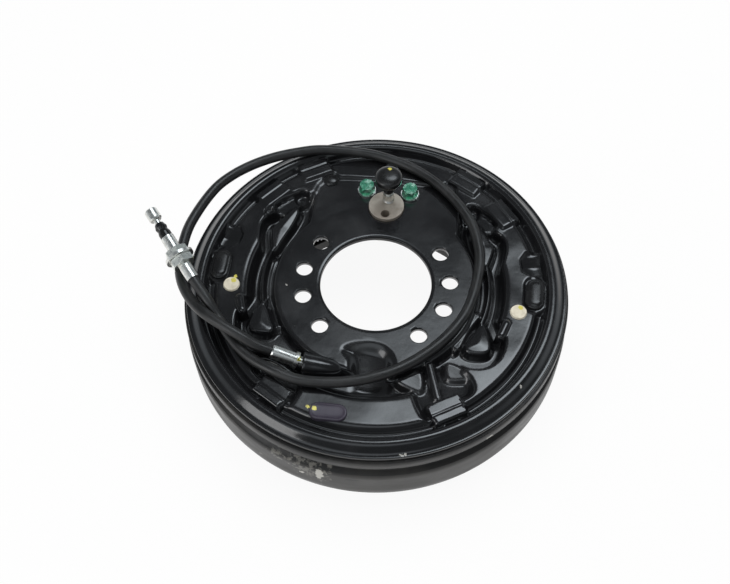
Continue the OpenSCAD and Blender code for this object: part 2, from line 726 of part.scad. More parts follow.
module cable_end() {
    color(zinc) translate([0, 0, plate_z]) along_end() difference() {
        union() {
            cylinder(r = 5.75, h = 15.5);
            translate([0, 0, 15]) cylinder(r = 5.45, h = 17.5);
            translate([0, 0, 32]) cylinder(r = 6, h = 14);
        }
        translate([0, 0, 36]) cylinder(r = 3.2, h = 12);
    }
}

module lock_nuts() {
    color(green_zinc) translate([0, 0, plate_z]) along_end() {
        for (s = [[15.6, 7], [25.6, 6]]) {
            translate([0, 0, s[0]]) difference() {
                intersection() {
                    hex_head(nut_af, s[1]);
                    cylinder(r1 = nut_af / 2 + 0.3, r2 = nut_af / 2 + 2 * s[1], h = s[1]);
                    cylinder(r1 = nut_af / 2 + 2 * s[1], r2 = nut_af / 2 + 0.3, h = s[1]);
                }
                translate([0, 0, -1]) cylinder(r = 5.5, h = s[1] + 2);
            }
        }
    }
}

module flat_washers() {
    color(zinc) translate([0, 0, plate_z]) along_end() translate([0, 0, 22.8]) difference() {
        cylinder(r = washer_r, h = 2.6);
        translate([0, 0, -1]) cylinder(r = 6.1, h = 5);
    }
}

module end_boot() {
    color(rubber) translate([0, 0, plate_z]) along_end() translate([0, 0, 46]) difference() {
        union() {
            cylinder(r = 5.6, h = 5);
            translate([0, 0, 5]) cylinder(r1 = 5.6, r2 = 4.7, h = 3);
            translate([0, 0, 8]) cylinder(r1 = 4.7, r2 = 5.5, h = 3);
            translate([0, 0, 11]) cylinder(r1 = 5.5, r2 = 4.2, h = 4);
        }
        translate([0, 0, -1]) cylinder(r = 3.2, h = 20);
    }
}

module pull_slug() {
    color(zinc) translate([0, 0, plate_z]) along_end() {
        translate([0, 0, 40]) cylinder(r = 3, h = 27);
        translate([0, 0, 66]) cylinder(r1 = 5.1, r2 = 5.9, h = 1);
        translate([0, 0, 67]) cylinder(r = 5.9, h = 9);
        translate([0, 0, 76]) cylinder(r1 = 5.9, r2 = 5, h = 1);
    }
}

module side_plugs() {
    color(rubber) translate([0, 0, plate_z]) pair() {
        slot([142, -5], [142, 10], 8.4, 0.5, 2.6);
        slot([142, -4], [142, 9], 6.6, 2.6, 4);
        slot([142, -3.5], [142, 8.5], 5.9, -8.3, 0.6);
    }
}

module adjuster_plug() {
    color([0.30, 0.27, 0.33]) translate([0, 0, plate_z]) {
        slot([-32, -133.5], [-16, -133.5], 7.8, track_h, track_h + 2.4);
        slot([-33, -133.5], [-15, -133.5], 5.4, -3.5, track_h + 0.5);
    }
}

module round_plugs() {
    color(rubber) translate([0, 0, plate_z]) pair() translate([56, 111, 0]) {
        cylinder(r1 = 7, r2 = 6.4, h = 1.6);
        translate([0, 0, 1.6]) cylinder(r1 = 6.4, r2 = 3.4, h = 1.6);
        translate([0, 0, -5.5]) cylinder(r = 4.8, h = 6);
    }
}

drum();
drum_web();
backing_plate();
anchor_post();
cylinder_body();
piston_left();
piston_right();
cup_left();
cup_right();
dust_boots();
cylinder_spring();
cylinder_bolts();
cylinder_washers();
bleeder_screw();
bleeder_cap();
shoe_left();
shoe_right();
lining_left();
lining_right();
hold_down_pins();
hold_down_cups();
hold_down_springs();
return_spring_left();
return_spring_right();
lower_spring();
adjuster_fork_left();
adjuster_fork_right();
star_wheel();
parking_lever();
lever_pin();
strut();
inner_wire();
cable_ferrule();
cable_sheath();
cable_end();
lock_nuts();
flat_washers();
end_boot();
pull_slug();
side_plugs();
adjuster_plug();
round_plugs();
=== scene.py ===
"""Photograph scene of a drum brake that lies on its drum with the pressed backing plate on top.

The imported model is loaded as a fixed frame. The pressed plate, the drum, the cable sheath, the
bleeder cap and the plugs get finer pieces that stand for the plain solids, and every solid that
stays gets a procedural finish. Everything is in metres, with the wheel axis on Z.
"""

import json
import logging
import math
from dataclasses import dataclass, field
from enum import Enum
from typing import Callable, Sequence

import bmesh
import bpy
import numpy as np
from mathutils import Matrix, Vector

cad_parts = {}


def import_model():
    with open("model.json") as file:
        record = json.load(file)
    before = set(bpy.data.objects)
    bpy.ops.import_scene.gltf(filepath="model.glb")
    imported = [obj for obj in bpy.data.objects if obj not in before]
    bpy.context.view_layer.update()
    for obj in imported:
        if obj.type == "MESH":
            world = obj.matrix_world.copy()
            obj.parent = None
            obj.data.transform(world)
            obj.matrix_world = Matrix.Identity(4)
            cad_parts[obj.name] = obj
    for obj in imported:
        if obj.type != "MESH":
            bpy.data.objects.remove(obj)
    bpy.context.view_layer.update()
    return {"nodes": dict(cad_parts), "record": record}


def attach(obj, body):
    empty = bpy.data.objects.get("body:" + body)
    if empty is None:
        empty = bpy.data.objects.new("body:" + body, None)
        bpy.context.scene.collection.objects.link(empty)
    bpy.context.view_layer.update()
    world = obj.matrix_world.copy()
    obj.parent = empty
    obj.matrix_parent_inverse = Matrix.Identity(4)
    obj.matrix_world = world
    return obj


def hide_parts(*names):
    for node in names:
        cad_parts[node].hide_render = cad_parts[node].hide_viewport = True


LOG = logging.getLogger("drum_brake")
MM = 0.001
PLATE_Z = 92.0
DISC_R = 89.0
FLOOR_Z = -10.0
YELLOW = (0.55, 0.50, 0.10)

# Outlines on the plate, in millimetres from the wheel axis, left side first
TOWER = ((-71, 40), (71, 40), (71, 100), (62, 112), (45, 117), (-45, 117), (-62, 112), (-71, 100))
FOOT_LOW = ((-99, -30), (-108, -52), (-103, -63.5), (-80, -62), (-90, -42), (-96.5, -30))
FOOT_HIGH = ((-95, 24), (-91, 38), (-83.5, 57), (-79.5, 73.5), (-85.5, 77.5), (-101.5, 55),
             (-104.5, 50), (-98, 24))
MOAT_LOW = ((-100, -20), (-110, -26), (-117, -46), (-114, -64), (-104, -75), (-86, -76),
            (-80, -66), (-88, -40))
MOAT_HIGH = ((-93, 20), (-85, 40), (-74, 60), (-76, 84), (-86, 82), (-103, 64), (-110, 60),
             (-112.5, 48), (-109, 30), (-101, 18))
RECESS_RIGHT = ((58, -80), (47, -92), (45, -108), (57, -130), (63, -127), (60, -121), (82, -107),
                (92, -100), (88, -88), (72, -78))
RECESS_LEFT = ((-50, -104), (-70, -97), (-88, -92), (-92, -100), (-82, -107), (-60, -121),
               (-63, -127), (-57, -130))
WELL = ((-22, -71.5), (-14.6, -65.8), (-2.8, -62.8), (9.5, -63.2), (17.2, -66.2), (24, -73), (26, -88),
        (25, -104), (18, -112), (-6, -112), (-12, -104), (-13, -88), (-14, -79.5))
FACET_INNER = ((26, -96), (38, -89.5), (49, -83), (51.5, -92), (52, -99.5), (50, -105), (37.8, -102))
FACET_LOBE = ((67, -73.3), (76, -73), (88.5, -80), (90, -87), (80, -90), (70, -90))
PADS = ((140, -58.6), (140, 238.6), (141.3, 58.9), (141.3, 121.1), (139, 39), (139, 141))

# Route of the cable sheath from its ferrule to its end fitting, in millimetres above the disc
ROUTE = ((-79.75, -84.7, 7.95), (-91.6, -83.5, 12.3), (-105, -79.5, 18), (-121, -73, 21.5),
         (-140, -62.5, 21.5), (-156, -48, 18), (-169, -28.5, 14.2), (-176.3, -7, 11.2),
         (-178, 14, 11.2), (-176, 37, 12), (-162, 79, 12), (-149, 97, 12),
         (-132, 112, 12), (-113, 124, 11.5), (-92, 133, 11), (-71, 139, 10.6),
         (-26, 141, 8.8), (-4, 137, 8.4), (17, 130, 7.8), (37, 119, 7.3), (54, 105, 7.2),
         (69, 88, 7.2), (81, 69, 6.8), (88, 48, 6.2), (91, 26, 5.7),
         (85, -18, 5.6), (76, -39, 5.6), (63, -58, 5.6), (48, -74, 6), (31, -88, 7),
         (11, -99, 8), (-10, -106, 8), (-33, -109.5, 8), (-55, -109, 8), (-77, -103, 9.6),
         (-97, -93, 8.6), (-114, -79, 9), (-129, -61.5, 12.8), (-142.9, -46.2, 21.3),
         (-156, -31.75, 25.95))


class Side(Enum):
    """Which side of the wheel axis a piece sits on, with its sign along X."""

    LEFT = -1
    RIGHT = 1


def smoothstep(t: np.ndarray) -> np.ndarray:
    """A soft step from 0 to 1 as t goes from 0 to 1."""
    t = np.clip(t, 0.0, 1.0)
    return t * t * (3.0 - 2.0 * t)


def polygon_distance(points: Sequence[tuple[float, float]], x: np.ndarray, y: np.ndarray) -> np.ndarray:
    """Signed distance from points of the plan to an outline.

    Args:
        points: The outline's corners in order, either way round.
        x: Plan X of the points to measure.
        y: Plan Y of the points to measure.

    Returns:
        The distance to the outline, negative inside it.
    """
    best = np.full(x.shape, 1e9)
    inside = np.zeros(x.shape, bool)
    for (ax, ay), (bx, by) in zip(points, points[1:] + points[:1]):
        ex, ey = bx - ax, by - ay
        t = np.clip(((x - ax) * ex + (y - ay) * ey) / (ex * ex + ey * ey), 0.0, 1.0)
        best = np.minimum(best, np.hypot(x - ax - t * ex, y - ay - t * ey))
        if ey != 0:
            crosses = (ay > y) != (by > y)
            inside ^= crosses & (x < (by - ay) ** -1 * (y - ay) * ex + ax)
    return np.where(inside, -best, best)


def rounded(points: Sequence[tuple[float, float]], passes: int = 2) -> tuple[tuple[float, float], ...]:
    """Cuts an outline's corners again and again, so that they turn round."""
    for _ in range(passes):
        points = tuple(p for a, b in zip(points, points[1:] + points[:1])
                       for p in ((0.75 * a[0] + 0.25 * b[0], 0.75 * a[1] + 0.25 * b[1]),
                                 (0.25 * a[0] + 0.75 * b[0], 0.25 * a[1] + 0.75 * b[1])))
    return points


def capsule_distance(a: tuple[float, float], b: tuple[float, float], x: np.ndarray, y: np.ndarray) -> np.ndarray:
    """Distance in plan from the points to the straight line between a and b."""
    ex, ey = b[0] - a[0], b[1] - a[1]
    t = np.clip(((x - a[0]) * ex + (y - a[1]) * ey) / (ex * ex + ey * ey), 0.0, 1.0)
    return np.hypot(x - a[0] - t * ex, y - a[1] - t * ey)


# --- Finishes ---------------------------------------------------------------------------------


class Nodes:
    """A short way to build one material's node tree."""

    def __init__(self, name: str) -> None:
        """Starts a material with a principled shader.

        Args:
            name: The material's name.
        """
        self.material = bpy.data.materials.new(name)
        self.material.use_nodes = True
        self.tree = self.material.node_tree
        self.shader = self.tree.nodes["Principled BSDF"]
        self.place = self.tree.nodes.new("ShaderNodeTexCoord").outputs["Object"]

    def mapped(self, scale: tuple[float, float, float]) -> bpy.types.NodeSocket:
        """Object coordinates stretched by scale along each axis."""
        node = self.tree.nodes.new("ShaderNodeMapping")
        node.inputs["Scale"].default_value = scale
        self.tree.links.new(self.place, node.inputs["Vector"])
        return node.outputs["Vector"]

    def noise(self, scale: float, detail: float = 3.0, rough: float = 0.55,
              vector: bpy.types.NodeSocket | None = None) -> bpy.types.NodeSocket:
        """A noise pattern with the given number of cells a metre."""
        node = self.tree.nodes.new("ShaderNodeTexNoise")
        node.inputs["Scale"].default_value = scale
        node.inputs["Detail"].default_value = detail
        node.inputs["Roughness"].default_value = rough
        self.tree.links.new(vector or self.place, node.inputs["Vector"])
        return node.outputs["Fac"]

    def ramp(self, value: bpy.types.NodeSocket, low: float, high: float, out_low: float, out_high: float,
             ) -> bpy.types.NodeSocket:
        """Maps value from low..high to out_low..out_high, clamped."""
        node = self.tree.nodes.new("ShaderNodeMapRange")
        for name, number in (("From Min", low), ("From Max", high), ("To Min", out_low), ("To Max", out_high)):
            node.inputs[name].default_value = number
        self.tree.links.new(value, node.inputs["Value"])
        return node.outputs["Result"]

    def mix(self, factor: bpy.types.NodeSocket, a: Sequence[float] | bpy.types.NodeSocket,
            b: Sequence[float]) -> bpy.types.NodeSocket:
        """A colour between a and b by factor."""
        node = self.tree.nodes.new("ShaderNodeMix")
        node.data_type = "RGBA"
        self.tree.links.new(factor, node.inputs[0])
        if isinstance(a, bpy.types.NodeSocket):
            self.tree.links.new(a, node.inputs[6])
        else:
            node.inputs[6].default_value = (*a, 1.0)
        node.inputs[7].default_value = (*b, 1.0)
        return node.outputs[2]

    def bump(self, height: bpy.types.NodeSocket, strength: float, distance: float,
             below: bpy.types.NodeSocket | None = None) -> bpy.types.NodeSocket:
        """A bump from height, on top of an earlier bump if there is one."""
        node = self.tree.nodes.new("ShaderNodeBump")
        node.inputs["Strength"].default_value = strength
        node.inputs["Distance"].default_value = distance
        self.tree.links.new(height, node.inputs["Height"])
        if below is not None:
            self.tree.links.new(below, node.inputs["Normal"])
        return node.outputs["Normal"]

    def spot(self, centre: tuple[float, float, float], radius: float, ragged: float = 0.35,
             stretch: tuple[float, float, float] = (1.0, 1.0, 1.0)) -> bpy.types.NodeSocket:
        """A mask that is 1 in a ragged spot round a place on the part and 0 outside it.

        Args:
            centre: The spot's middle, in millimetres.
            radius: Its radius in millimetres.
            ragged: How far its edge wanders, as a share of the radius.
            stretch: Shares by which distances along each axis count.

        Returns:
            The mask.
        """
        ratio = self.tree.nodes.new("ShaderNodeMapping")
        ratio.inputs["Scale"].default_value = stretch
        ratio.inputs["Location"].default_value = tuple(-c * MM * k for c, k in zip(centre, stretch))
        self.tree.links.new(self.place, ratio.inputs["Vector"])
        reach = self.tree.nodes.new("ShaderNodeVectorMath")
        reach.operation = "LENGTH"
        self.tree.links.new(ratio.outputs["Vector"], reach.inputs[0])
        wander = self.ramp(self.noise(1.0 / (radius * 1.2 * MM), 3.0), 0.3, 0.7, -ragged * radius * MM,
                           ragged * radius * MM)
        total = self.tree.nodes.new("ShaderNodeMath")
        self.tree.links.new(reach.outputs["Value"], total.inputs[0])
        self.tree.links.new(wander, total.inputs[1])
        return self.ramp(total.outputs[0], radius * MM * 0.92, radius * MM * 1.08, 1.0, 0.0)

    def colour(self, value: Sequence[float] | bpy.types.NodeSocket) -> None:
        """Sets or links the base colour."""
        self.put("Base Color", (*value, 1.0) if not isinstance(value, bpy.types.NodeSocket) else value)

    def put(self, name: str, value: object) -> None:
        """Sets a socket of the shader to a number or colour, or links a pattern to it."""
        if isinstance(value, bpy.types.NodeSocket):
            self.tree.links.new(value, self.shader.inputs[name])
        else:
            self.shader.inputs[name].default_value = value


@dataclass(frozen=True)
class GlossPaint:
    """Black paint on pressed steel, glossy, with orange peel, handling marks, dust and dabs of yellow."""

    name: str = "gloss_black_paint"
    base: tuple[float, float, float] = (0.0060, 0.0062, 0.0070)
    dust: tuple[float, float, float] = (0.022, 0.022, 0.023)
    rough_low: float = 0.13
    rough_high: float = 0.26
    peel: float = 0.16
    dabs: tuple[tuple[float, float, float, float], ...] = ()
    chips: tuple[tuple[float, float, float, float], ...] = ()

    def build(self) -> bpy.types.Material:
        """Makes the paint."""
        n = Nodes(self.name)
        cloud = n.noise(22.0, 4.0)
        tone = n.mix(n.ramp(cloud, 0.48, 0.78, 0.0, 0.5), self.base, self.dust)
        grit = n.noise(420.0, 2.0, 0.5)
        tone = n.mix(n.ramp(grit, 0.74, 0.80, 0.0, 0.5), tone, (0.10, 0.10, 0.095))
        for x, y, z, radius in self.dabs:
            tone = n.mix(n.spot((x, y, z), radius), tone, YELLOW)
        for x, y, z, radius in self.chips:
            tone = n.mix(n.spot((x, y, z), radius, 0.7), tone, (0.34, 0.34, 0.32))
        n.colour(tone)
        n.put("Roughness", n.ramp(cloud, 0.35, 0.7, self.rough_low, self.rough_high))
        n.put("Coat Weight", 0.35)
        n.put("Coat Roughness", 0.07)
        first = n.bump(n.noise(45.0, 2.0), self.peel, 0.0010)
        second = n.bump(n.noise(190.0, 2.0), 0.10, 0.0005, first)
        n.put("Normal", n.bump(n.noise(1300.0, 2.0), 0.03, 0.0003, second))
        return n.material


@dataclass(frozen=True)
class DrumCoat:
    """Thin black coat on cast iron, dull and brownish below the groove, with rubs, chips and a dark scrape."""

    name: str = "black_coated_iron"
    base: tuple[float, float, float] = (0.013, 0.013, 0.013)
    worn: tuple[float, float, float] = (0.10, 0.095, 0.085)
    bare: tuple[float, float, float] = (0.52, 0.51, 0.47)
    chips: tuple[tuple[tuple[float, float, float], float, float, tuple[float, float, float]], ...] = (
        ((-28, -171.7, 54), 6.2, 0.55, (1.9, 1.0, 0.8)), ((-29, -171.5, 47), 3.6, 0.6, (1.6, 1.0, 0.7)),
        ((-44, -168.5, 46), 2.0, 0.7, (1.0, 1.0, 1.0)), ((-78, -155.5, 72), 2.4, 0.7, (0.6, 0.6, 1.6)),
        ((112, -133, 78), 2.0, 0.7, (0.5, 0.5, 1.4)), ((150, -88, 80), 1.6, 0.7, (0.6, 0.6, 1.4)))

    def build(self) -> bpy.types.Material:
        """Makes the coat."""
        n = Nodes(self.name)
        cloud = n.noise(14.0, 5.0, 0.6)
        streak = n.noise(20.0, 4.0, 0.6, n.mapped((1.0, 1.0, 4.0)))
        grain = n.noise(700.0, 3.0, 0.6)
        split = n.tree.nodes.new("ShaderNodeSeparateXYZ")
        n.tree.links.new(n.place, split.inputs[0])
        low = n.ramp(split.outputs["Z"], 0.056, 0.066, 1.0, 0.0)
        tone = n.mix(n.ramp(cloud, 0.52, 0.8, 0.0, 0.42), self.base, self.worn)
        dull = n.tree.nodes.new("ShaderNodeMath")
        dull.operation = "MULTIPLY"
        n.tree.links.new(low, dull.inputs[0])
        n.tree.links.new(n.ramp(streak, 0.30, 0.62, 0.06, 0.22), dull.inputs[1])
        tone = n.mix(dull.outputs[0], tone, self.worn)
        speckle = n.ramp(n.noise(210.0, 4.0, 0.7), 0.50, 0.60, 0.0, 1.0)
        for place, radius, stretch in (((-62, -163, 60), 22, (0.7, 0.7, 1.7)), ((-36, -170, 52), 12, (0.8, 0.8, 1.0))):
            flecked = n.tree.nodes.new("ShaderNodeMath")
            flecked.operation = "MULTIPLY"
            n.tree.links.new(n.spot(place, radius, 0.9, stretch), flecked.inputs[0])
            n.tree.links.new(speckle, flecked.inputs[1])
            tone = n.mix(flecked.outputs[0], tone, (0.16, 0.155, 0.14))
        for place, radius, ragged, stretch in self.chips:
            tone = n.mix(n.spot(place, radius, ragged, stretch), tone, self.bare)
        tone = n.mix(n.spot((0, -174, 54), 6.0, 0.3, (1.0, 0.2, 5.0)), tone, (0.004, 0.004, 0.004))
        n.colour(tone)
        n.put("Roughness", n.ramp(streak, 0.35, 0.7, 0.30, 0.46))
        n.put("Specular IOR Level", 0.26)
        first = n.bump(n.noise(90.0, 3.0), 0.14, 0.0008)
        n.put("Normal", n.bump(grain, 0.14, 0.0003, first))
        return n.material


@dataclass(frozen=True)
class PlatedMetal:
    """Plated or machined metal with fine mottling and a little dirt; on the green zinc the pale second tone is painted
    glints.
    """

    name: str
    base: tuple[float, float, float]
    # second mottle colour: dirt on most metals, but on the green zinc a pale tone that paints glints, a painted
    # highlight
    dark: tuple[float, float, float]
    roughness: float = 0.32
    metallic: float = 1.0
    mottle: float = 180.0
    dabs: tuple[tuple[float, float, float, float], ...] = ()

    def build(self) -> bpy.types.Material:
        """Makes the metal."""
        n = Nodes(self.name)
        spots = n.noise(self.mottle, 4.0, 0.6)
        # mottle the base with the second colour; on the green zinc this paints pale glints, a painted highlight
        tone = n.mix(n.ramp(spots, 0.45, 0.75, 0.0, 0.7), self.base, self.dark)
        for x, y, z, radius in self.dabs:
            tone = n.mix(n.spot((x, y, z), radius), tone, YELLOW)
        n.colour(tone)
        n.put("Metallic", self.metallic)
        n.put("Roughness", n.ramp(spots, 0.3, 0.75, self.roughness - 0.06, self.roughness + 0.16))
        n.put("Normal", n.bump(n.noise(1500.0, 2.0), 0.08, 0.0002))
        return n.material


@dataclass(frozen=True)
class SoftPolymer:
    """Rubber, plastic or friction compound with a fine grain."""

    name: str
    base: tuple[float, float, float]
    bloom: tuple[float, float, float]
    roughness: float = 0.55
    grain: float = 900.0
    depth: float = 0.12
    dabs: tuple[tuple[float, float, float, float], ...] = ()

    def build(self) -> bpy.types.Material:
        """Makes the polymer."""
        n = Nodes(self.name)
        cloud = n.noise(60.0, 4.0)
        tone = n.mix(n.ramp(cloud, 0.45, 0.8, 0.0, 0.8), self.base, self.bloom)
        for x, y, z, radius in self.dabs:
            tone = n.mix(n.spot((x, y, z), radius), tone, YELLOW)
        n.colour(tone)
        n.put("Roughness", n.ramp(cloud, 0.35, 0.75, self.roughness - 0.06, self.roughness + 0.1))
        n.put("Normal", n.bump(n.noise(self.grain, 3.0, 0.6), self.depth, 0.0003))
        return n.material


@dataclass
class Finishes:
    """Every finish of the brake, made once."""

    made: dict[str, bpy.types.Material] = field(default_factory=dict)

    def build(self) -> None:
        """Makes the materials by the record's slot names, and one for the pale lock nuts."""
        makers = {
            "black_paint": GlossPaint(
                dabs=((-126, -9, 93.5, 1.9), (-127.2, -11.5, 93.5, 1.7), (-42, -130, 95, 1.9)),
                chips=((-79.5, -11.7, 92, 0.9), (40, -163, 91, 1.3), (43, -162, 91, 1.0), (133, -92, 95.5, 1.3),
                       (166, 60, 92, 1.2), (162, 69, 92, 0.9), (-24, 168, 91, 0.9))),
            "drum_iron": DrumCoat(),
            "shoe_paint": GlossPaint("satin_shoe_paint", (0.012, 0.012, 0.013), (0.04, 0.04, 0.04), 0.34, 0.5),
            "lining_compound": SoftPolymer("friction_compound", (0.10, 0.08, 0.06), (0.20, 0.17, 0.14), 0.85,
                                           500.0, 0.4),
            "zinc_plate": PlatedMetal("zinc_plate", (0.80, 0.80, 0.77), (0.42, 0.42, 0.39), 0.28, 1.0, 240.0,
                                      ((-54.3, -89.5, 98, 2.6), (-55.5, -85.5, 97, 2.0))),
            # green zinc: the pale second colour paints white glints on the bolt heads, a painted highlight
            "green_zinc": PlatedMetal("green_zinc", (0.11, 0.44, 0.28), (0.74, 0.86, 0.79), 0.20, 0.8, 230.0),
            "pale_nuts": PlatedMetal("pale_zinc_nuts", (0.84, 0.86, 0.82), (0.55, 0.58, 0.52), 0.30, 1.0, 200.0),
            "machined_steel": PlatedMetal("machined_steel", (0.46, 0.47, 0.49), (0.24, 0.24, 0.25), 0.36),
            "cast_housing": PlatedMetal("machined_casting", (0.40, 0.36, 0.31), (0.21, 0.18, 0.15), 0.42, 0.55, 90.0),
            "black_rubber": SoftPolymer("black_rubber", (0.0060, 0.0060, 0.0064), (0.013, 0.013, 0.0135), 0.26,
                                        dabs=((1.7, 98.5, 132.0, 1.8),)),
            "sheath_black": SoftPolymer("sheath_plastic", (0.0095, 0.0098, 0.010), (0.026, 0.026, 0.026), 0.40,
                                        600.0, 0.05),
            "cream_plate": PlatedMetal("cream_paint", (0.66, 0.62, 0.50), (0.40, 0.36, 0.27), 0.5, 0.0, 200.0,
                                       ((-126.5, -14.5, 96, 2.4), (129.6, -14.2, 96, 2.0))),
            "purple_plug": SoftPolymer("grey_purple_rubber", (0.028, 0.023, 0.036), (0.055, 0.048, 0.066), 0.34,
                                       dabs=((-40.4, -130.3, 95, 1.9), (-35.6, -131.9, 96, 1.9))),
        }
        for slot, maker in makers.items():
            self.made[slot] = maker.build()

    def dress(self, piece: bpy.types.Object, slot: str, finish: str = "") -> None:
        """Gives a piece the finish of one of the record's slots, or its own.

        Args:
            piece: The object to dress.
            slot: The record's material slot.
            finish: The finish to use where it isn't the slot's.
        """
        piece.data.materials.clear()
        piece.data.materials.append(self.made[finish or slot])


# --- Meshes -----------------------------------------------------------------------------------


@dataclass
class Workshop:
    """Makes finished pieces out of bmeshes, hangs them on their body and gives them the finish of their slot."""

    finishes: Finishes

    def finish(self, name: str, mesh: bmesh.types.BMesh, slot: str, body: str = "plate",
               stands_for: Sequence[str] = (), sharp: float = 35.0) -> bpy.types.Object:
        """Turns a bmesh in millimetres into a piece of the scene.

        Args:
            name: The piece's name.
            mesh: The bmesh, which is freed.
            slot: The record's material slot.
            body: The CAD body that the piece rides on.
            stands_for: CAD nodes that the piece replaces.
            sharp: Angle in degrees over which an edge stays sharp.

        Returns:
            The new object.
        """
        bmesh.ops.scale(mesh, vec=(MM, MM, MM), verts=mesh.verts)
        for face in mesh.faces:
            face.smooth = True
        for edge in mesh.edges:
            if len(edge.link_faces) == 2 and edge.calc_face_angle(0.0) > math.radians(sharp):
                edge.smooth = False
        data = bpy.data.meshes.new(name)
        mesh.to_mesh(data)
        mesh.free()
        piece = bpy.data.objects.new(name, data)
        bpy.context.scene.collection.objects.link(piece)
        self.finishes.dress(piece, slot)
        if stands_for:
            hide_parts(*stands_for)
        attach(piece, body)
        LOG.info("%s: %d faces", name, len(data.polygons))
        return piece

    @staticmethod
    def turned(profile: Sequence[tuple[float, float]], steps: int = 96, closed: bool = True) -> bmesh.types.BMesh:
        """Spins a section about the Z axis.

        Args:
            profile: Radius and height of each corner of the section, in millimetres.
            steps: Number of steps round the turn.
            closed: Whether the section's last corner joins its first.

        Returns:
            The turned bmesh, about the Z axis.
        """
        mesh = bmesh.new()
        verts = [mesh.verts.new((r, 0.0, z)) for r, z in profile]
        for a, b in zip(verts, verts[1:]):
            mesh.edges.new((a, b))
        if closed:
            mesh.edges.new((verts[-1], verts[0]))
        bmesh.ops.spin(mesh, geom=mesh.verts[:] + mesh.edges[:], cent=(0, 0, 0), axis=(0, 0, 1), dvec=(0, 0, 0),
                       angle=2 * math.pi, steps=steps, use_merge=True, use_normal_flip=False, use_duplicate=False)
        bmesh.ops.remove_doubles(mesh, verts=mesh.verts, dist=0.0005)
        bmesh.ops.recalc_face_normals(mesh, faces=mesh.faces)
        return mesh

    @staticmethod
    def arc(cx: float, cz: float, radius: float, start: float, end: float, steps: int,
            ) -> list[tuple[float, float]]:
        """Corners along an arc of a section, angles in degrees."""
        return [(cx + radius * math.cos(math.radians(start + (end - start) * i / steps)),
                 cz + radius * math.sin(math.radians(start + (end - start) * i / steps)))
                for i in range(steps + 1)]


# --- Sub-assemblies ---------------------------------------------------------------------------


@dataclass
class ParkingCable:
    """The sheath of the parking cable, which lies in one loop over the plate."""

    diameter: float = 9.5
    fineness: int = 10

    def centreline(self) -> list[Vector]:
        """Points along the smooth curve through the route, in metres."""
        points = [Vector((x, y, z + PLATE_Z)) * MM for x, y, z in ROUTE]
        padded = [2 * points[0] - points[1], *points, 2 * points[-1] - points[-2]]
        line = []
        for a, b, c, d in zip(padded, padded[1:], padded[2:], padded[3:]):
            before, here, after = (math.sqrt((q - p).length) for p, q in ((a, b), (b, c), (c, d)))
            leave = (c - b) + here * ((b - a) / before - (c - a) / (before + here))
            meet = (c - b) + here * ((d - c) / after - (d - b) / (here + after))
            for i in range(self.fineness):
                t = i / self.fineness
                line.append(b + leave * t + (3 * (c - b) - 2 * leave - meet) * t * t
                            + (2 * (b - c) + leave + meet) * t * t * t)
        line.append(points[-1])
        return line

    def build(self, shop: Workshop) -> bpy.types.Object:
        """Args:
            shop: Where the finish comes from.

        Returns:
            The sheath.
        """
        line = self.centreline()
        curve = bpy.data.curves.new("sheath", "CURVE")
        curve.dimensions = "3D"
        curve.bevel_depth = self.diameter / 2 * MM
        curve.bevel_resolution = 6
        curve.use_fill_caps = True
        spline = curve.splines.new("POLY")
        spline.points.add(len(line) - 1)
        for point, place in zip(spline.points, line):
            point.co = (*place, 1.0)
        spline.use_smooth = True
        piece = bpy.data.objects.new("cable_sheath_run", curve)
        bpy.context.scene.collection.objects.link(piece)
        shop.finishes.dress(piece, "sheath_black")
        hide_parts("cable_sheath")
        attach(piece, "plate")
        return piece


